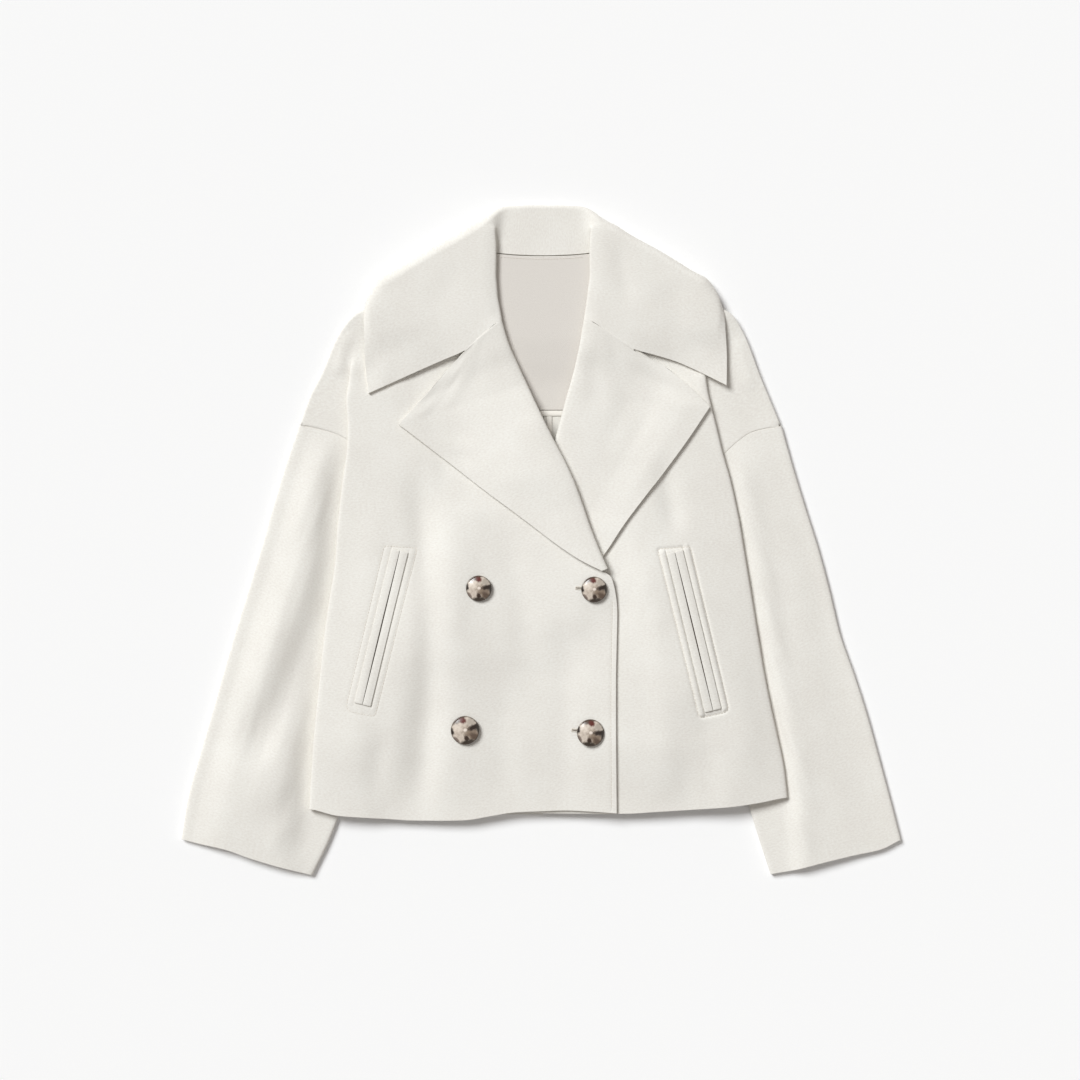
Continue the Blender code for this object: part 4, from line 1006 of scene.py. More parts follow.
def milledWool():
    # Wool melton: a twill milled and brushed until a soft nap nearly hides its ribs; matt, with a faint bloom
    made, tree, shader = newMaterial("ivoryMelton", 0.92, sheen=0.12, sheenRoughness=0.45, specular=0.18)
    shader.inputs["Sheen Tint"].default_value = colour("#FFF8EC")
    uv = addNode(tree, "ShaderNodeUVMap", {"uv_map": "clothLengths"}).outputs["UV"]
    objectPlace = addNode(tree, "ShaderNodeTexCoord").outputs["Object"]
    # melange: undyed and grey fibres mixed in the yarn, about 1.6 mm patches, stretched along the weft
    weft = addNode(tree, "ShaderNodeMapping", {"Scale": (0.55, 1.0, 1.0)}, {"Vector": uv}).outputs["Vector"]
    melange = addNode(tree, "ShaderNodeTexNoise", {"Scale": 620.0, "Detail": 4.0, "Roughness": 0.62},
                      {"Vector": weft}).outputs["Fac"]
    cloud = addNode(tree, "ShaderNodeTexNoise", {"Scale": 26.0, "Detail": 3.0, "Roughness": 0.55},
                    {"Vector": objectPlace}).outputs["Fac"]
    mixed = addNode(tree, "ShaderNodeMath", {"operation": "MULTIPLY_ADD", 1: 0.35},
                    {0: cloud, 2: melange}).outputs[0]
    tone = addNode(tree, "ShaderNodeValToRGB", links={"Fac": mixed},
                   stops=((0.50, "#E3DFD8"), (0.68, "#E9E6DF"), (0.86, "#EEECE6"))).outputs["Color"]
    # twill ribs 1.6 mm apart, drawn twice as coarse as real so that they show, under a nap of 0.7 mm fibre
    turned = addNode(tree, "ShaderNodeMapping", {"Rotation": (0, 0, math.radians(38))},
                     {"Vector": uv}).outputs["Vector"]
    rib = addNode(tree, "ShaderNodeTexWave", {"wave_type": "BANDS", "bands_direction": "X", "Scale": 98.0,
                                              "Distortion": 1.6, "Detail": 2.0, "Detail Scale": 3.0},
                  {"Vector": turned}).outputs["Fac"]
    nap = addNode(tree, "ShaderNodeTexNoise", {"Scale": 1500.0, "Detail": 5.0, "Roughness": 0.7},
                  {"Vector": weft}).outputs["Fac"]
    pill = addNode(tree, "ShaderNodeTexNoise", {"Scale": 240.0, "Detail": 3.0, "Roughness": 0.6},
                   {"Vector": objectPlace}).outputs["Fac"]
    relief = addNode(tree, "ShaderNodeMath", {"operation": "MULTIPLY_ADD", 1: 0.25},
                     {0: rib, 2: nap}).outputs[0]
    relief = addNode(tree, "ShaderNodeMath", {"operation": "MULTIPLY_ADD", 1: 1.1},
                     {0: pill, 2: relief}).outputs[0]
    finishMaterial(tree, shader, tone, relief, 0.3, 0.0003)
    return made


def facingCloth():
    # Wrong side of the wool at the neck: flatter and a little pinker, with the zigzag of its broken twill
    made, tree, shader = newMaterial("woolFacing", 0.85, sheen=0.2, specular=0.2)
    uv = addNode(tree, "ShaderNodeUVMap", {"uv_map": "clothLengths"}).outputs["UV"]
    place = addNode(tree, "ShaderNodeSeparateXYZ", links={"Vector": uv})
    # herringbone: stripes 12 mm wide, ribs 1.8 mm apart leaning to each side in turn
    stripe = addNode(tree, "ShaderNodeMath", {"operation": "PINGPONG", 1: 0.012},
                     {0: place.outputs["X"]}).outputs[0]
    lean = addNode(tree, "ShaderNodeMath", {"operation": "ADD"}, {0: stripe, 1: place.outputs["Y"]}).outputs[0]
    ribs = addNode(tree, "ShaderNodeMath", {"operation": "MULTIPLY", 1: 2 * math.pi / 0.0018},
                   {0: lean}).outputs[0]
    wave = addNode(tree, "ShaderNodeMath", {"operation": "SINE"}, {0: ribs}).outputs[0]
    grain = addNode(tree, "ShaderNodeTexNoise", {"Scale": 900.0, "Detail": 4.0, "Roughness": 0.6},
                    {"Vector": uv}).outputs["Fac"]
    mixed = addNode(tree, "ShaderNodeMath", {"operation": "MULTIPLY_ADD", 1: 0.06},
                    {0: wave, 2: grain}).outputs[0]
    tone = addNode(tree, "ShaderNodeValToRGB", links={"Fac": mixed},
                   stops=((0.30, "#D1CBC4"), (0.52, "#DFDAD3"), (0.72, "#E8E4DE"))).outputs["Color"]
    relief = addNode(tree, "ShaderNodeMath", {"operation": "MULTIPLY_ADD", 1: 0.35},
                     {0: wave, 2: grain}).outputs[0]
    finishMaterial(tree, shader, tone, relief, 0.4, 0.0002)
    return made


def satinTape():
    # Cotton sateen bias tape, smooth; its ivory is painted lighter than the wool, as painted light against the
    # shade inside the neck. Its slanting threads, 0.5 mm apart, are drawn twice as coarse so that they show
    made, tree, shader = newMaterial("sateenTape", 0.55, sheen=0.15, specular=0.4)
    uv = addNode(tree, "ShaderNodeUVMap", {"uv_map": "clothLengths"}).outputs["UV"]
    turned = addNode(tree, "ShaderNodeMapping", {"Rotation": (0, 0, math.radians(45))},
                     {"Vector": uv}).outputs["Vector"]
    threads = addNode(tree, "ShaderNodeTexWave", {"Scale": 310.0, "Distortion": 0.8, "Detail": 1.0},
                      {"Vector": turned}).outputs["Fac"]
    # lighter than the wool: partly the tape's own ivory, partly painted light
    tone = addNode(tree, "ShaderNodeValToRGB", links={"Fac": threads},
                   stops=((0.0, "#EFE9E0"), (1.0, "#F8F5EE"))).outputs["Color"]
    finishMaterial(tree, shader, tone, threads, 0.3, 0.0001)
    return made


def sewingThread():
    # Spun polyester thread, two plies: slight gloss, the twist shows as fine slanting bands
    made, tree, shader = newMaterial("spunThread", 0.5, sheen=0.1, specular=0.45)
    objectPlace = addNode(tree, "ShaderNodeTexCoord").outputs["Object"]
    twist = addNode(tree, "ShaderNodeTexWave",
                    {"bands_direction": "DIAGONAL", "Scale": 480.0, "Distortion": 0.4},
                    {"Vector": objectPlace}).outputs["Fac"]
    tone = addNode(tree, "ShaderNodeValToRGB", links={"Fac": twist},
                   stops=((0.0, "#D3CBBE"), (1.0, "#EDE7DC"))).outputs["Color"]
    finishMaterial(tree, shader, tone, twist, 0.4, 0.0001)
    return made


def slitShadeTwill():
    # Cotton pocketing twill, dark and dull, as painted shade in pocket mouths and buttonhole slits; ribs 1 mm apart
    # drawn twice as coarse
    made, tree, shader = newMaterial("slitShadeTwill", 0.95, specular=0.1)
    uv = addNode(tree, "ShaderNodeUVMap", {"uv_map": "clothLengths"}).outputs["UV"]
    turned = addNode(tree, "ShaderNodeMapping", {"Rotation": (0, 0, math.radians(45))},
                     {"Vector": uv}).outputs["Vector"]
    ribs = addNode(tree, "ShaderNodeTexWave", {"Scale": 155.0, "Distortion": 0.6},
                   {"Vector": turned}).outputs["Fac"]
    # dark browns: painted shade
    tone = addNode(tree, "ShaderNodeValToRGB", links={"Fac": ribs},
                   stops=((0.0, "#574B43"), (1.0, "#6B5E54"))).outputs["Color"]
    finishMaterial(tree, shader, tone, ribs, 0.3, 0.0001)
    return made


marbling = {
    "ripple": 0.7, "streak": 0.85, "fade": (1.28, 2.1),
    "rimStreak": 0.22, "rimFade": (0.99, 1.1), "rimStrength": 0.75, "rimColour": "#4A3E34",
    "patchesAndShade": (        # centre, half sizes, turn, colour, strength; 1 is the button's radius
        # the dark patches towards the bottom and the right edge are painted shade, the rest the horn's own marbling
        ((0.55, 0.5), (0.42, 0.3), 30, "#B4AB9F", 0.8),
        ((0.5, -0.4), (0.8, 0.46), -42, "#86725F", 0.9),
        ((0.62, -0.62), (0.5, 0.24), -45, "#574334", 0.85),
        ((-0.3, 0.8), (0.56, 0.2), 20, "#4E3A2A", 1.0),
        ((-0.02, 0.7), (0.26, 0.2), -30, "#5E2B23", 1.0),
        ((0.66, 0.08), (0.52, 0.2), 8, "#2A1B10", 1.0),
        ((0.95, -0.05), (0.16, 0.5), 0, "#2B261F", 1.0),
        ((-0.93, 0.1), (0.16, 0.28), 8, "#241C15", 1.0),
        ((-0.72, -0.52), (0.12, 0.3), 35, "#75665D", 0.9),
        ((0.0, -0.6), (0.17, 0.26), 0, "#3A281C", 1.0),
        ((0.0, -0.88), (0.6, 0.2), 2, "#3A3026", 1.0),
        ((0.02, 0.02), (0.14, 0.12), 0, "#F3E7DB", 0.9),
    ),
}


def hornResin():
    # Cast polyester resin, marbled like horn and polished: cloudy cream with translucent brown patches, darker to
    # the lower right where shade is painted in, and fine streaks that run out from the centre; a soft gloss
    made, tree, shader = newMaterial("hornResin", 0.28, specular=0.5, clearCoat=0.25)
    shader.inputs["IOR"].default_value = 1.55
    shader.inputs["Coat Roughness"].default_value = 0.12
    uv = addNode(tree, "ShaderNodeUVMap", {"uv_map": "buttonFace"}).outputs["UV"]
    cloudy = addNode(tree, "ShaderNodeTexNoise", {"Scale": 2.6, "Detail": 4.0, "Roughness": 0.6},
                     {"Vector": uv}).outputs["Fac"]
    shade = addNode(tree, "ShaderNodeValToRGB", links={"Fac": cloudy},
                    stops=((0.30, "#B5A799"), (0.5, "#D3C6B8"), (0.68, "#E6DACC"))).outputs["Color"]
    ripple = addNode(tree, "ShaderNodeTexNoise", {"Scale": 5.0, "Detail": 3.0}, {"Vector": uv}).outputs["Fac"]
    radius = addNode(tree, "ShaderNodeVectorMath", {"operation": "LENGTH"}, {0: uv}).outputs["Value"]
    spoke = addNode(tree, "ShaderNodeVectorMath", {"operation": "NORMALIZE"}, {0: uv}).outputs["Vector"]
    spoke = addNode(tree, "ShaderNodeVectorMath", {"operation": "SCALE", "Scale": 3.4},
                    {0: spoke}).outputs["Vector"]
    lift = addNode(tree, "ShaderNodeCombineXYZ", links={"Z": radius}).outputs["Vector"]
    spoke = addNode(tree, "ShaderNodeVectorMath", {"operation": "ADD"}, {0: spoke, 1: lift}).outputs["Vector"]
    streak = addNode(tree, "ShaderNodeTexNoise", {"Scale": 2.2, "Detail": 4.0, "Roughness": 0.7},
                     {"Vector": spoke}).outputs["Fac"]
    for (x, y), (width, height), turn, tint, strength in marbling["patchesAndShade"]:
        placed = addNode(tree, "ShaderNodeMapping",
                         {"vector_type": "TEXTURE", "Location": (x, y, 0),
                          "Rotation": (0, 0, math.radians(turn)), "Scale": (width, height, 1)},
                         {"Vector": uv}).outputs["Vector"]
        away = addNode(tree, "ShaderNodeVectorMath", {"operation": "LENGTH"}, {0: placed}).outputs["Value"]
        for noise, share in ((ripple, marbling["ripple"]), (streak, marbling["streak"])):
            away = addNode(tree, "ShaderNodeMath", {"operation": "MULTIPLY_ADD", 1: share},
                           {0: noise, 2: away}).outputs[0]
        near, far = marbling["fade"]
        mask = addNode(tree, "ShaderNodeMapRange", {"interpolation_type": "SMOOTHSTEP", "From Min": near,
                                                    "From Max": far, "To Min": strength, "To Max": 0.0},
                       {"Value": away}).outputs["Result"]
        shade = addNode(tree, "ShaderNodeMix", {"data_type": "RGBA", 7: colour(tint)},
                        {0: mask, 6: shade}).outputs[2]
    rim = addNode(tree, "ShaderNodeMath", {"operation": "MULTIPLY_ADD", 1: marbling["rimStreak"]},
                  {0: streak, 2: radius}).outputs[0]
    near, far = marbling["rimFade"]
    rim = addNode(tree, "ShaderNodeMapRange", {"interpolation_type": "SMOOTHSTEP", "From Min": near,
                                               "From Max": far, "To Min": 0.0, "To Max": marbling["rimStrength"]},
                  {"Value": rim}).outputs["Result"]
    shade = addNode(tree, "ShaderNodeMix", {"data_type": "RGBA", 7: colour(marbling["rimColour"])},
                    {0: rim, 6: shade}).outputs[2]
    finishMaterial(tree, shader, shade, streak, 0.08, 0.0002)
    return made


wool = milledWool()
facing = facingCloth()
tape = satinTape()
thread = sewingThread()
paintedShadeCloth = slitShadeTwill()
horn = hornResin()
print("materials made")


# Cloth pieces

pieces = {}


sides = ((1, "left"), (-1, "right"))


def extraPiece(piece):        # a piece that only the scene has
    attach(piece, "root")
    return piece


def readyPiece(piece, node):
    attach(piece, "root")
    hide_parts(node)
    pieces[node] = piece


def liftGrid(grid, lift, weights=1.0):
    raised = grid.copy()
    raised[:, :, 2] += lift(grid[:, :, 0], grid[:, :, 1]) * weights
    return raised


rollSoftness = {"reach": 14.0, "depth": 1.6}


def softenRoll(side, grid):             # the cloth rises gradually beside the full fold of a roll line
    low, high = grid[:, :1, 2], grid[:, :, 2].max(axis=1, keepdims=True)
    fold = xAt(coat[side]["roll"], grid[:, :, 1])
    away = np.clip(side * (grid[:, :, 0] - fold), 0, rollSoftness["reach"]) / rollSoftness["reach"]
    upper = np.clip((2 * grid[:, :, 2] - high - low) / np.maximum(high - low, 1.0), 0, 1)
    softer = grid.copy()
    softer[:, :, 2] -= rollSoftness["depth"] * (1 - away) ** 2 * upper * (low < high - 3)
    return softer


def topWeights(side, grid):             # 1 on a front's top layer, 0 on its flap and what lies under it
    columns = grid.shape[1]
    level = grid[:, :, 2]
    turned = np.argmax(side * grid[:, :, 0], axis=1)
    weights = np.zeros(level.shape)
    for row in range(grid.shape[0]):
        reach = turned[row] if grid[row, 0, 1] < coat[side]["fold"][0][1] + 2 else columns
        weights[row, :reach] = 1.0
    return weights


# Pockets: across is square to the slit, positive outwards; down runs from its top end
pocket = {
    "corners": ((-16.7, -6.7), (-15.5, 173.0), (16.0, 174.0), (17.0, -1.0)),    # stitched frame
    "cornerRound": (3.0, 5.0, 8.0, 3.0),
    "fine": (21.0, 12.0, 11.0),                   # finer faces: across, above its top, past its end
    "ridgeIn": (9.0, 11.0), "ridgeOut": (13.5, 16.0), "seamAcross": 9.3,
    "topFade": (-6.0, -1.0), "endFade": (1.0, 5.0),
    "ridge": {1: 1.25, -1: 0.3}, "seam": {1: -0.7, -1: -0.15}, "groove": {1: -1.0, -1: -0.3},
    "grooveWidth": 1.5,
    "weltWidth": 8.6, "weltWall": 1.2, "weltLay": 0.3, "weltCrown": 0.35, "weltSteps": 40,
    "mouth": (0.2, 0.6),                          # half the gap between the welts, at its ends and middle
    # the strip under the mouth is painted shade: dark twill standing for the shade inside the pocket
    "slitShadeWidth": 3.4, "slitShadeWall": 0.14,
}
edgeStitch = {"inset": 5.5, "topY": -64.0, "bottomY": -281.0, "depth": -0.35, "width": 1.2, "fine": 4.5}


def slitAxes(side):
    top, bottom = coat[side]["slit"]
    length = float(np.linalg.norm(bottom - top))
    down = (bottom - top) / length
    return top, down, np.array((-down[1], down[0])) * side, length


def slitPlace(side, across, down):
    top, downward, outward, _ = slitAxes(side)
    return top + downward * down + outward * across


def roundedPath(corners, rounds):                   # a closed path with its corners rounded
    path = []
    for index, (corner, size) in enumerate(zip(corners, rounds)):
        before, after = corners[index - 1], corners[(index + 1) % len(corners)]
        start = corner + (before - corner) / np.linalg.norm(before - corner) * size
        end = corner + (after - corner) / np.linalg.norm(after - corner) * size
        for t in np.linspace(0, 1, 5):
            path.append((1 - t) ** 2 * start + 2 * t * (1 - t) * corner + t ** 2 * end)
    return path + path[:1]


pocketFrames = {side: roundedPath([slitPlace(side, *corner) for corner in pocket["corners"]],
                                  pocket["cornerRound"]) for side in (1, -1)}
edgeLine = [np.array((xAt(coat[-1]["edge"], y) - edgeStitch["inset"], y))
            for y in np.linspace(edgeStitch["topY"], edgeStitch["bottomY"], 30)]


def besideSlit(side, x, y):             # how far points lie across and down a slit
    top, down, outward, _ = slitAxes(side)
    across = (x - top[0]) * outward[0] + (y - top[1]) * outward[1]
    return across, (x - top[0]) * down[0] + (y - top[1]) * down[1]


def nearPressed(side, x, y):
    across, place = besideSlit(side, x, y)
    widest, above, past = pocket["fine"]
    near = (abs(across) < widest) & (place > -above) & (place < slitAxes(side)[3] + past)
    if side < 0:
        near |= lineDistance(edgeLine, x, y)[0] < edgeStitch["fine"]
    return near


def groove(line, width, x, y):          # 1 on the line, fading to each side
    return np.exp(-(lineDistance(line, x, y)[0] / width) ** 2)


def pressedLift(side, x, y):
    across, place = besideSlit(side, x, y)
    across, length = abs(across), slitAxes(side)[3]
    endLow, endHigh = pocket["endFade"]
    inside = blend(*pocket["topFade"], place) * (1 - blend(length + endLow, length + endHigh, place))
    ridge = blend(*pocket["ridgeIn"], across) * (1 - blend(*pocket["ridgeOut"], across))
    lift = pocket["ridge"][side] * ridge * inside
    lift = lift + pocket["seam"][side] * np.exp(-(across - pocket["seamAcross"]) ** 2) * inside
    lift = lift + pocket["groove"][side] * groove(pocketFrames[side], pocket["grooveWidth"], x, y)
    if side < 0:
        lift = lift + edgeStitch["depth"] * groove(edgeLine, edgeStitch["width"], x, y)
    return lift


seamFill = {"reach": 1.3, "armholeWall": 1.5, "gorgeWall": 3.05, "points": 70, "armholeShares": (0.02, 0.62)}


def seamStrip(name, line, across, wall):            # a seam's turned edges close it just under the surface
    rows = [line - across * seamFill["reach"], line, line + across * seamFill["reach"]]
    extraPiece(clothShell(name, np.array(rows), wall, wool, edgeRound=0.3))


def armholeLine(side):                              # between the edges of front and sleeve
    part = coat[side]
    across = part["sleeveOuter"][0] - part["sleeveInner"][0]
    across = np.array((across[1], -across[0])) / np.linalg.norm(across) * side
    level = layers["bed"] + layers["step"]
    line = []
    for share in np.linspace(*seamFill["armholeShares"], seamFill["points"]):
        x, y = along(part["armhole"], share) + across * cloth["armholeGap"] / 2
        line.append((x, y, level))
    return np.array(line), np.array((*across, 0.0))


areas = {}
reliefBand = {                          # where the soft troughs and ridges start, on rows, in plan or in height
    "endRows": (0, 12), "backReach": (0, 12), "backLevel": 1.3, "shoulderY": 140.0, "lapel": (10.0, 13.0),
    "collar": (7.0, 10.0),
}
easing = {                              # reach and passes, with the place on the collar's left half
    "pleat": (30.0, 26),
    "ridgeCorner": ((48.0, 334.0), 32.0, 26),
    "leafCorner": ((187.0, 250.0), 26.0, 30),
}
for side, word in sides:
    part = coat[side]
    gorgeLine = [part["gorge"], part["notch"]]
    rows, corners = backRows(side)
    grid = refine(rows, corners)
    inside = blend(*reliefBand["backReach"], side * (grid[:, :, 0] - centreX))
    inside = inside * (1 - blend(-0.5, 0.5, grid[:, :, 2] - reliefBand["backLevel"]))
    grid = liftGrid(grid, lambda x, y: foldsLift(backFolds, x, y), inside)
    areas[f"back_{word}"] = gridArea(grid)
    readyPiece(clothShell(f"back{word.title()}Wool", grid, cloth["wall"], wool, tightLines=[part["armhole"]]),
               f"back_{word}")

    grid = refine(sleeveRows(side), closed=True)
    areas[f"sleeve_{word}"] = gridArea(grid)
    readyPiece(clothShell(f"sleeve{word.title()}Wool", grid, cloth["wall"], wool, closed=True,
                          tightLines=[part["armhole"]]), f"sleeve_{word}")

    rows, corners = frontRows(side)
    grid = refine(rows, corners)
    weights = topWeights(side, grid)
    grid = liftGrid(easeGrid(grid, part["fold"][0], *easing["pleat"]), bodyLift, weights)
    grid = liftGrid(grid, lambda x, y: foldsLift(shoulderFolds, x, y),
                    weights * (grid[:, :, 1] > reliefBand["shoulderY"]))
    areas[f"front_{word}"] = gridArea(grid)
    relief = {"onTop": weights, "near": lambda x, y: nearPressed(side, x, y),
              "lift": lambda x, y: pressedLift(side, x, y)}
    readyPiece(clothShell(f"front{word.title()}Wool", grid, cloth["wall"], wool, tightLines=[part["armhole"]],
                          relief=relief), f"front_{word}")

    rows, corners = lapelRows(side)
    grid = softenRoll(side, liftGrid(refine(rows, corners), bodyLift))
    fromTop = blend(*reliefBand["endRows"], np.arange(len(grid)))[:, None]
    grid = liftGrid(grid, lambda x, y: foldsLift(turnedFolds[side], x, y),
                    blend(*reliefBand["lapel"], grid[:, :, 2]) * fromTop)
    areas[f"lapel_{word}"] = gridArea(grid)
    readyPiece(clothShell(f"lapel{word.title()}Wool", grid, cloth["doubleWall"], wool, edgeRound=1.2,
                          tightLines=[gorgeLine]), f"lapel_{word}")
    seamStrip(f"armholeSeam{word.title()}", *armholeLine(side), seamFill["armholeWall"])
    seamStrip(f"gorgeSeam{word.title()}", evenPoints(grid[0], seamFill["points"]), np.array((0, 1.0, 0)),
              seamFill["gorgeWall"])
    print("cloth", word, {key: round(value, 4) for key, value in areas.items()})

grid = refine(collarRows())
half = len(grid) // 2
grid = np.concatenate([softenRoll(-1, grid[:half]), softenRoll(1, grid[half:])])
fromEnd = blend(*reliefBand["endRows"], np.minimum(np.arange(len(grid)), np.arange(len(grid))[::-1]))[:, None]
for side, _ in sides:
    upper = blend(*reliefBand["collar"], grid[:, :, 2]) * fromEnd * (side * grid[:, :, 0] > 0)
    grid = liftGrid(grid, lambda x, y: foldsLift(turnedFolds[side], x, y), upper)
    for centre, reach, passes in (easing["ridgeCorner"], easing["leafCorner"]):
        grid = easeGrid(grid, mirrored(centre, side), reach, passes)
areas["collar"] = gridArea(grid)
gorges = [[coat[side]["gorge"], coat[side]["notch"]] for side in (1, -1)]
readyPiece(clothShell("collarWool", grid, cloth["doubleWall"], wool, edgeRound=1.2, tightLines=gorges),
           "collar")
print("collar", round(areas["collar"], 4))


# Welts, stitching and buttons on the fronts

def surfaceReader(piece):               # height of a finished piece's upper surface, in millimetres
    tree = BVHTree.FromObject(piece, bpy.context.evaluated_depsgraph_get())

    def height(x, y):
        return tree.ray_cast(Vector((x * mm, y * mm, 0.1)), Vector((0, 0, -1)))[0].z / mm

    return height


frontTop = {1: surfaceReader(pieces["front_left"]), -1: surfaceReader(pieces["front_right"])}


def weltRows(side, direction):
    length = slitAxes(side)[3]
    lift = pocket["weltLay"] + pocket["weltWall"] / 2
    rows = []
    for step in range(pocket["weltSteps"] + 1):
        share = step / pocket["weltSteps"]
        mouth = pocket["mouth"][0] + (pocket["mouth"][1] - pocket["mouth"][0]) * math.sin(math.pi * share)
        row = []
        for column in range(6):
            part = column / 5 if direction * side > 0 else 1 - column / 5
            across = direction * (mouth + (pocket["weltWidth"] - mouth) * part)
            x, y = slitPlace(side, across, length * share)
            crown = pocket["weltCrown"] * math.sin(math.pi * min(part * 1.15, 1.0))
            row.append((x, y, frontTop[side](x, y) + lift + crown))
        rows.append(row)
    return rows


# rows of the dark strip of painted shade under a pocket's mouth
def slitShadeRows(side):
    length, rows = slitAxes(side)[3], []
    for step in range(pocket["weltSteps"] + 1):
        row = []
        for across in (-pocket["slitShadeWidth"] / 2, 0.0, pocket["slitShadeWidth"] / 2):
            x, y = slitPlace(side, across * side, length * (0.01 + 0.98 * step / pocket["weltSteps"]))
            row.append((x, y, frontTop[side](x, y) + 0.04 + pocket["slitShadeWall"] / 2))
        rows.append(row)
    return rows


for side, word in sides:
    for label, direction in (("inner", -1), ("outer", 1)):
        node = f"welt_{word}_{label}"
        grid = refine(weltRows(side, direction))
        areas[node] = gridArea(grid)
        name = f"welt{word.title()}{label.title()}"
        welt = clothShell(name, grid, pocket["weltWall"], wool, edgeRound=0.45)
        readyPiece(welt, node)
    # a dark strip of painted shade in the pocket's mouth
    slitShadeStrip = clothShell(f"pocketSlitShade{word.title()}", refine(slitShadeRows(side)), pocket["slitShadeWall"],
                        paintedShadeCloth, edgeRound=0.04)
    extraPiece(slitShadeStrip)
print("welts", {key: round(value, 5) for key, value in areas.items() if key.startswith("welt")})


def editSelected(piece, chosen):        # edit mode with only the vertices of the given numbers selected
    bpy.ops.object.mode_set(mode="OBJECT")
    for item in (piece.data.polygons, piece.data.edges, piece.data.vertices):
        item.foreach_set("select", [False] * len(item))
    for index in chosen:
        piece.data.vertices[index].select = True
    bpy.ops.object.mode_set(mode="EDIT")


stitch = {"length": 2.3, "pitch": 3.2, "thick": 0.5, "arch": 0.12, "middle": 0.02, "lift": 0.1}
bpy.ops.object.select_all(action="DESELECT")
bpy.ops.mesh.primitive_uv_sphere_add(segments=8, ring_count=6, radius=stitch["thick"] / 2 * mm,
                                     location=(0, 0, 0), rotation=(0, math.radians(90), 0))
model = bpy.context.object
bpy.ops.object.transform_apply(rotation=True)
half = (stitch["length"] - stitch["thick"]) / 2 * mm
bpy.ops.object.mode_set(mode="EDIT")
bpy.ops.mesh.select_mode(type="VERT")
for direction in (1, -1):
    editSelected(model, [v.index for v in model.data.vertices if v.co.x * direction > stitch["middle"] * mm])
    bpy.ops.transform.translate(value=(direction * half, 0, 0))
editSelected(model, [v.index for v in model.data.vertices if abs(v.co.x) < stitch["middle"] * mm])
bpy.ops.transform.translate(value=(0, 0, stitch["arch"] * mm))
bpy.ops.object.mode_set(mode="OBJECT")
stitchPoints = np.array([tuple(v.co) for v in model.data.vertices])
stitchFaces = [tuple(face.vertices) for face in model.data.polygons]
bpy.data.objects.remove(model, do_unlink=True)
chance = np.random.default_rng(31)


def sewn(name, places, height):         # copies of the stitch in one mesh: x, y, direction, share of its length
    allPoints, allFaces = [], []
    for x, y, direction, size in places:
        reach = direction * stitch["length"] / 2 * size
        start, end = height(x - reach[0], y - reach[1]), height(x + reach[0], y + reach[1])
        axis = np.array((2 * reach[0], 2 * reach[1], end - start))
        axis = axis / np.linalg.norm(axis)
        beside = np.cross((0, 0, 1.0), axis)
        beside = beside / np.linalg.norm(beside)
        upward = np.cross(axis, beside)
        middle = np.array((x, y, max(height(x, y), (start + end) / 2) + stitch["lift"])) * mm
        base = len(allPoints)
        for point in stitchPoints:
            allPoints.append(tuple(middle + axis * point[0] * size + beside * point[1] + upward * point[2]))
        allFaces += [tuple(base + index for index in face) for face in stitchFaces]
    mesh = bpy.data.meshes.new(name)
    mesh.from_pydata(allPoints, [], allFaces)
    mesh.shade_smooth()
    mesh.materials.append(thread)
    extraPiece(linked(name, mesh))


def runningStitches(path):              # a row of stitches along a line, a little uneven
    lengths = np.concatenate([[0], np.cumsum([np.linalg.norm(b - a) for a, b in zip(path, path[1:])])])
    xs, ys = [p[0] for p in path], [p[1] for p in path]
    places = []
    for index in range(int(lengths[-1] / stitch["pitch"])):
        middle = (index + 0.5) * stitch["pitch"] + chance.uniform(-0.12, 0.12)
        ends = [np.array((np.interp(place, lengths, xs), np.interp(place, lengths, ys)))
                for place in (middle - 1, middle + 1)]
        direction = (ends[1] - ends[0]) / np.linalg.norm(ends[1] - ends[0])
        x, y = (ends[0] + ends[1]) / 2 + chance.uniform(-0.08, 0.08, 2)
        places.append((x, y, direction, chance.uniform(0.94, 1.06)))
    return places


sewn("pocketStitchesLeft", runningStitches(pocketFrames[1]), frontTop[1])
sewn("pocketStitchesRight", runningStitches(pocketFrames[-1]), frontTop[-1])
sewn("frontEdgeStitches", runningStitches(edgeLine), frontTop[-1])

buttonholes = {
    "upper": {"start": (35.4, -50.6), "end": (59.0, -51.4)},
    "lower": {"start": (31.4, -197.6), "end": (55.0, -198.6)},
}
# the last three values place a dark strip of painted shade along each buttonhole
holeSewing = {"pitch": 0.75, "away": 1.15, "size": 0.8, "barGap": 0.4, "barSize": 1.15, "holeShadeHalf": 0.45,
              "holeShadeLift": 0.16, "holeShadeWall": 0.14}
for word, hole in buttonholes.items():
    start, end = np.array(hole["start"]), np.array(hole["end"])
    run = (end - start) / np.linalg.norm(end - start)
    beside = np.array((-run[1], run[0]))
    places = []
    for step in range(int(np.linalg.norm(end - start) / holeSewing["pitch"]) + 1):
        for direction in (1, -1):
            x, y = start + run * step * holeSewing["pitch"] + beside * direction * holeSewing["away"]
            places.append((x, y, beside, holeSewing["size"] * chance.uniform(0.92, 1.08)))
    places.append((*(start - run * holeSewing["barGap"]), beside, holeSewing["barSize"]))
    sewn(f"{word}Buttonhole", places, frontTop[-1])
    # a dark strip of painted shade along the buttonhole's cut
    rows = []
    for share in np.linspace(0.01, 1, 12):
        row = []
        for shift in (holeSewing["holeShadeHalf"], -holeSewing["holeShadeHalf"]):
            x, y = start + (end - start) * share + beside * shift
            row.append((x, y, frontTop[-1](x, y) + holeSewing["holeShadeLift"]))
        rows.append(row)
    slit = clothShell(f"{word}ButtonholeShade", refine(rows), holeSewing["holeShadeWall"], paintedShadeCloth,
                      edgeRound=0.04)
    extraPiece(slit)
print("stitching made")

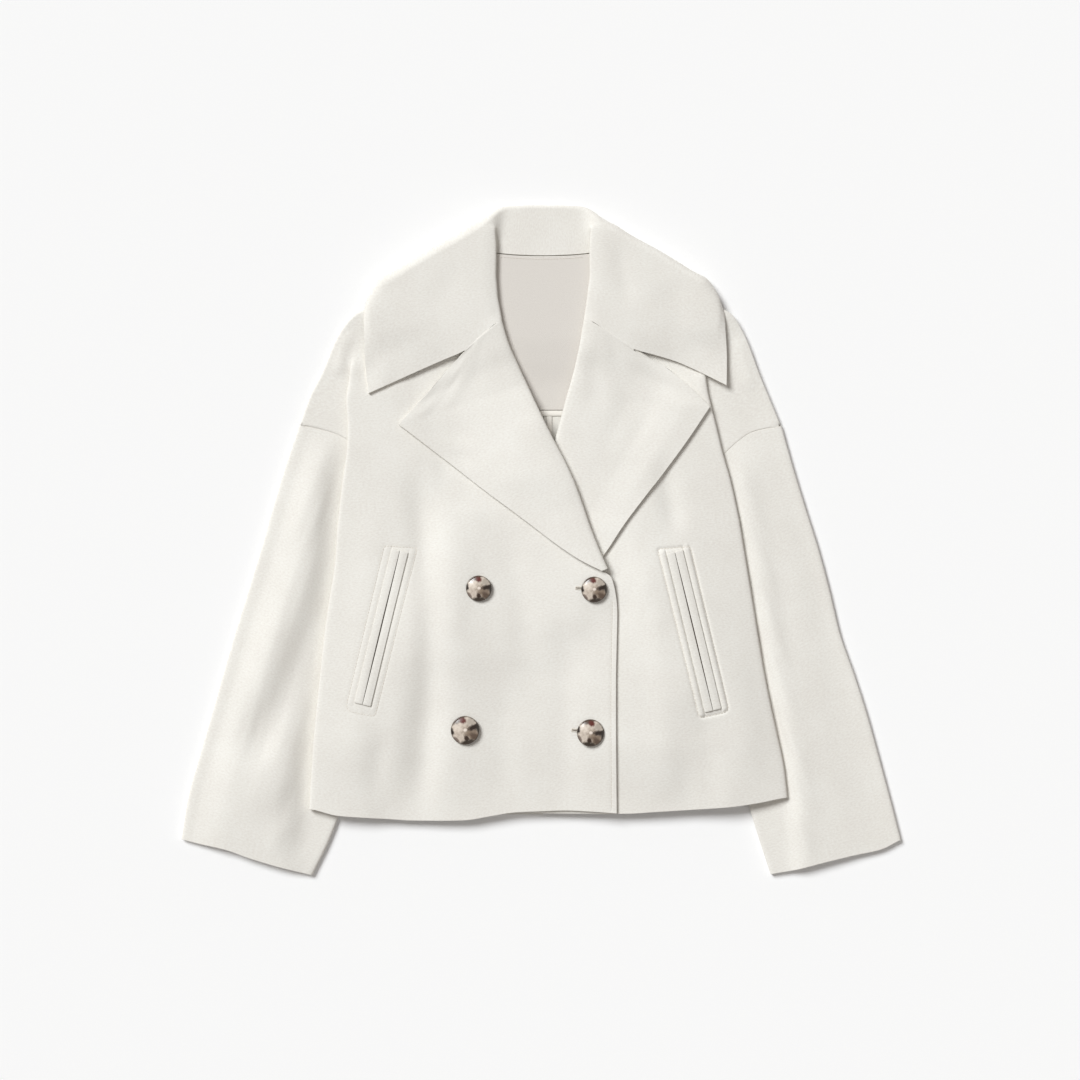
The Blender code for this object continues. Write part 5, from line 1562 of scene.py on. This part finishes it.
buttons = {
    "button_upper_right": dict(centre=(-64.7, -50.9), diameter=26.5, turn=0.0),
    "button_upper_left": dict(centre=(54.2, -52.0), diameter=26.5, turn=5.0),
    "button_lower_right": dict(centre=(-79.0, -197.5), diameter=29.5, turn=12.0),
    "button_lower_left": dict(centre=(50.5, -200.0), diameter=28.0, turn=-8.0),
}
buttonShape = {
    "sides": 64,
    "profile": (        # share of the radius, height above the shank's foot
        (0.2, 0.0), (0.2, 0.4),                                     # shank
        (0.5, 0.8), (0.9, 1.3), (0.985, 1.7),                       # underside
        (1.0, 2.1), (0.985, 2.5), (0.95, 2.75), (0.915, 2.7),       # rim and the hollow inside it
        (0.87, 2.9), (0.75, 3.5), (0.58, 4.15), (0.4, 4.65), (0.22, 4.95), (0.07, 5.05),
    ),
    "footGap": 0.5, "footReach": 3, "smoothAngle": 48,
}
threadShape = {"rings": 3, "radius": 2.1, "thick": 0.55, "pitch": 0.3, "widening": 1.08, "below": 0.25}


def buttonFoot(x, y):                   # just above the highest cloth under the shank
    shifts = (-buttonShape["footReach"], 0, buttonShape["footReach"])
    return max(frontTop[-1](x + dx, y + dy) for dx in shifts for dy in shifts) + buttonShape["footGap"]


def turnedButton(name, facts):
    (x, y), radius = facts["centre"], facts["diameter"] / 2
    foot = buttonFoot(x, y)
    profile = buttonShape["profile"]
    bpy.ops.object.select_all(action="DESELECT")
    bpy.ops.mesh.primitive_circle_add(vertices=buttonShape["sides"], radius=profile[0][0] * radius * mm,
                                      fill_type="NGON", location=(x * mm, y * mm, foot * mm))
    piece = bpy.context.object
    piece.name = piece.data.name = name
    bpy.ops.object.mode_set(mode="EDIT")
    for (fromShare, fromHeight), (share, height) in zip(profile, profile[1:]):
        bpy.ops.mesh.extrude_region_move(TRANSFORM_OT_translate={"value": (0, 0, (height - fromHeight) * mm)})
        bpy.ops.transform.resize(value=(share / fromShare, share / fromShare, 1),
                                 center_override=(x * mm, y * mm, (foot + height) * mm))
    bpy.ops.mesh.select_mode(type="EDGE")
    bpy.ops.mesh.select_all(action="DESELECT")
    bpy.ops.mesh.select_non_manifold()
    bpy.ops.mesh.edge_face_add()
    bpy.ops.mesh.select_all(action="SELECT")
    bpy.ops.mesh.normals_make_consistent(inside=False)
    bpy.ops.mesh.select_mode(type="VERT")
    bpy.ops.object.mode_set(mode="OBJECT")
    bpy.ops.object.transform_apply(location=True)
    bpy.ops.object.shade_smooth_by_angle(angle=math.radians(buttonShape["smoothAngle"]))
    layer = piece.data.uv_layers.new(name="buttonFace")     # 1 at the rim
    turn = math.radians(facts["turn"])
    for loop in piece.data.loops:
        point = piece.data.vertices[loop.vertex_index].co / mm
        dx, dy = (point.x - x) / radius, (point.y - y) / radius
        layer.data[loop.index].uv = (dx * math.cos(turn) + dy * math.sin(turn),
                                     dy * math.cos(turn) - dx * math.sin(turn))
    piece.data.materials.clear()
    piece.data.materials.append(horn)
    return piece


def shankThread(name, x, y, foot):
    bpy.ops.object.select_all(action="DESELECT")
    bpy.ops.mesh.primitive_torus_add(major_segments=24, minor_segments=8,
                                     major_radius=threadShape["radius"] * mm,
                                     minor_radius=threadShape["thick"] / 2 * mm,
                                     location=(x * mm, y * mm, foot * mm))
    rings = [bpy.context.object]
    for _ in range(1, threadShape["rings"]):
        bpy.ops.object.duplicate()
        bpy.ops.transform.translate(value=(0, 0, -threadShape["pitch"] * mm))
        bpy.ops.transform.resize(value=(threadShape["widening"], threadShape["widening"], 1))
        rings.append(bpy.context.object)
    for ring in rings:
        ring.select_set(True)
    bpy.context.view_layer.objects.active = rings[0]
    bpy.ops.object.join()
    piece = bpy.context.object
    piece.name = piece.data.name = name
    bpy.ops.object.transform_apply(location=True, rotation=True, scale=True)
    bpy.ops.object.shade_smooth()
    piece.data.materials.clear()
    piece.data.materials.append(thread)
    piece.select_set(False)
    return piece


for node, facts in buttons.items():
    _, level, hand = node.split("_")
    title = f"{level}{hand.title()}"
    readyPiece(turnedButton(f"{title}Button", facts), node)
    foot = buttonFoot(*facts["centre"]) - threadShape["below"]
    extraPiece(shankThread(f"{title}Thread", *facts["centre"], foot))
print("buttons made")


# Neck facing and its bindings

inside = {"wall": 1.2, "tapeWall": 0.8, "layGap": 0.4, "half": 60.0, "bottom": 134.0, "tapeWidth": 5.5,
          "seamTapeX": 8.0, "seamTapeEnd": 74.0}


def insideLevel(x, y, wall):
    return float(backLevel(x, y)) + cloth["wall"] / 2 + inside["layGap"] + wall / 2


rows = []
bases = (neck["seamY"] - 2 * cloth["seamGap"],) + shoulderBases[1:]
bases += (inside["bottom"] + 20, inside["bottom"])
for step, base in enumerate(bases):
    bow = float(blend(150, 189.0, base))
    half = inside["half"] * (1 - 0.35 * (step / (len(bases) - 1)) ** 2)
    row = []
    for column in range(7):
        x = centreX + half * (2 * column / 6 - 1)
        y = base + bow * neckBow(x)
        row.append((x, y, insideLevel(x, y, inside["wall"])))
    rows.append(row)
grid = refine(rows)
areas["neck_facing"] = gridArea(grid)
readyPiece(clothShell("neckFacingCloth", grid, inside["wall"], facing, edgeRound=0.4),
           "neck_facing")

neckLine = [np.array((x, neck["seamY"] - 3.6 + neckBow(x))) for x in np.linspace(-43, 46, 40)]
sewn("neckStitches", runningStitches(neckLine), surfaceReader(pieces["neck_facing"]))

tapeTop = inside["bottom"] - 1.5 * cloth["seamGap"]
half = inside["half"] * 0.65
level = insideLevel(0, 130, inside["tapeWall"])
rows = [[(centreX + half * share, tapeTop - inside["tapeWidth"] * step, level) for share in (-1, 0, 1)]
        for step in range(2)]
grid = refine(rows)
areas["facing_binding"] = gridArea(grid)
readyPiece(clothShell("facingTape", grid, inside["tapeWall"], tape, edgeRound=0.3),
           "facing_binding")
seamTop = tapeTop - inside["tapeWidth"] - cloth["seamGap"]
rows = [[(inside["seamTapeX"] + inside["tapeWidth"] * share, y, insideLevel(0, y, inside["tapeWall"]))
         for share in (-0.5, 0.5)]
        for y in (seamTop, (seamTop + inside["seamTapeEnd"]) / 2, inside["seamTapeEnd"])]
grid = refine(rows)
areas["seam_binding"] = gridArea(grid)
readyPiece(clothShell("seamTape", grid, inside["tapeWall"], tape, edgeRound=0.3),
           "seam_binding")
print("inside of the neck made")


# Floor, light and camera

photo = {"side": 1080, "millimetresPerPixel": 1.04, "middle": (-1.6, -1.0), "lens": 100.0, "sensor": 36.0}

bpy.ops.object.select_all(action="DESELECT")
bpy.ops.mesh.primitive_plane_add(size=12.0, location=(0, 0, -0.0004))
floor = bpy.context.object
floor.name = "floor"
# Seamless studio paper: flat and white, its fibre only just visible
paper, tree, shader = newMaterial("mattePaper", 0.9, specular=0.1)
fibre = addNode(tree, "ShaderNodeTexNoise", {"Scale": 900.0, "Detail": 2.0},
                {"Vector": addNode(tree, "ShaderNodeTexCoord").outputs["Object"]}).outputs["Fac"]
tone = addNode(tree, "ShaderNodeValToRGB", links={"Fac": fibre}, stops=((0.3, "#F9F9F9"), (0.7, "#FBFBFB")))
tree.links.new(tone.outputs["Color"], shader.inputs["Base Color"])
floor.data.materials.append(paper)

lights = {
    "key": dict(direction=(0.50, -0.50, -0.70), strength=3.07, angle=27, tint=(0.966, 0.988, 1.0)),
    "fill": dict(direction=(-0.5, 0.3, -0.8), strength=0.2, angle=60, tint=(1.0, 1.0, 1.0)),
}
for name, light in lights.items():
    lamp = bpy.data.lights.new(name, "SUN")
    lamp.energy = light["strength"]
    lamp.color = light["tint"]
    lamp.angle = math.radians(light["angle"])
    linked(name, lamp).rotation_euler = Vector(light["direction"]).to_track_quat("-Z", "Y").to_euler()
room = {"tint": (1.0, 0.942, 0.9, 1.0), "strength": 0.27}       # light from all around, a little warm
world = bpy.data.worlds.new("softRoom")
bpy.context.scene.world = world
world.use_nodes = True
background = world.node_tree.nodes["Background"]
background.inputs["Color"].default_value = room["tint"]
background.inputs["Strength"].default_value = room["strength"]
bpy.context.scene.view_settings.view_transform = "Standard"

frameWidth = photo["side"] * photo["millimetresPerPixel"] * mm
camera = bpy.data.cameras.new("camera")
camera.lens = photo["lens"]
camera.sensor_width = photo["sensor"]
cameraObject = linked("camera", camera)
middleX, middleY = photo["middle"]
cameraObject.location = (middleX * mm, middleY * mm, frameWidth * photo["lens"] / photo["sensor"])
bpy.context.scene.camera = cameraObject
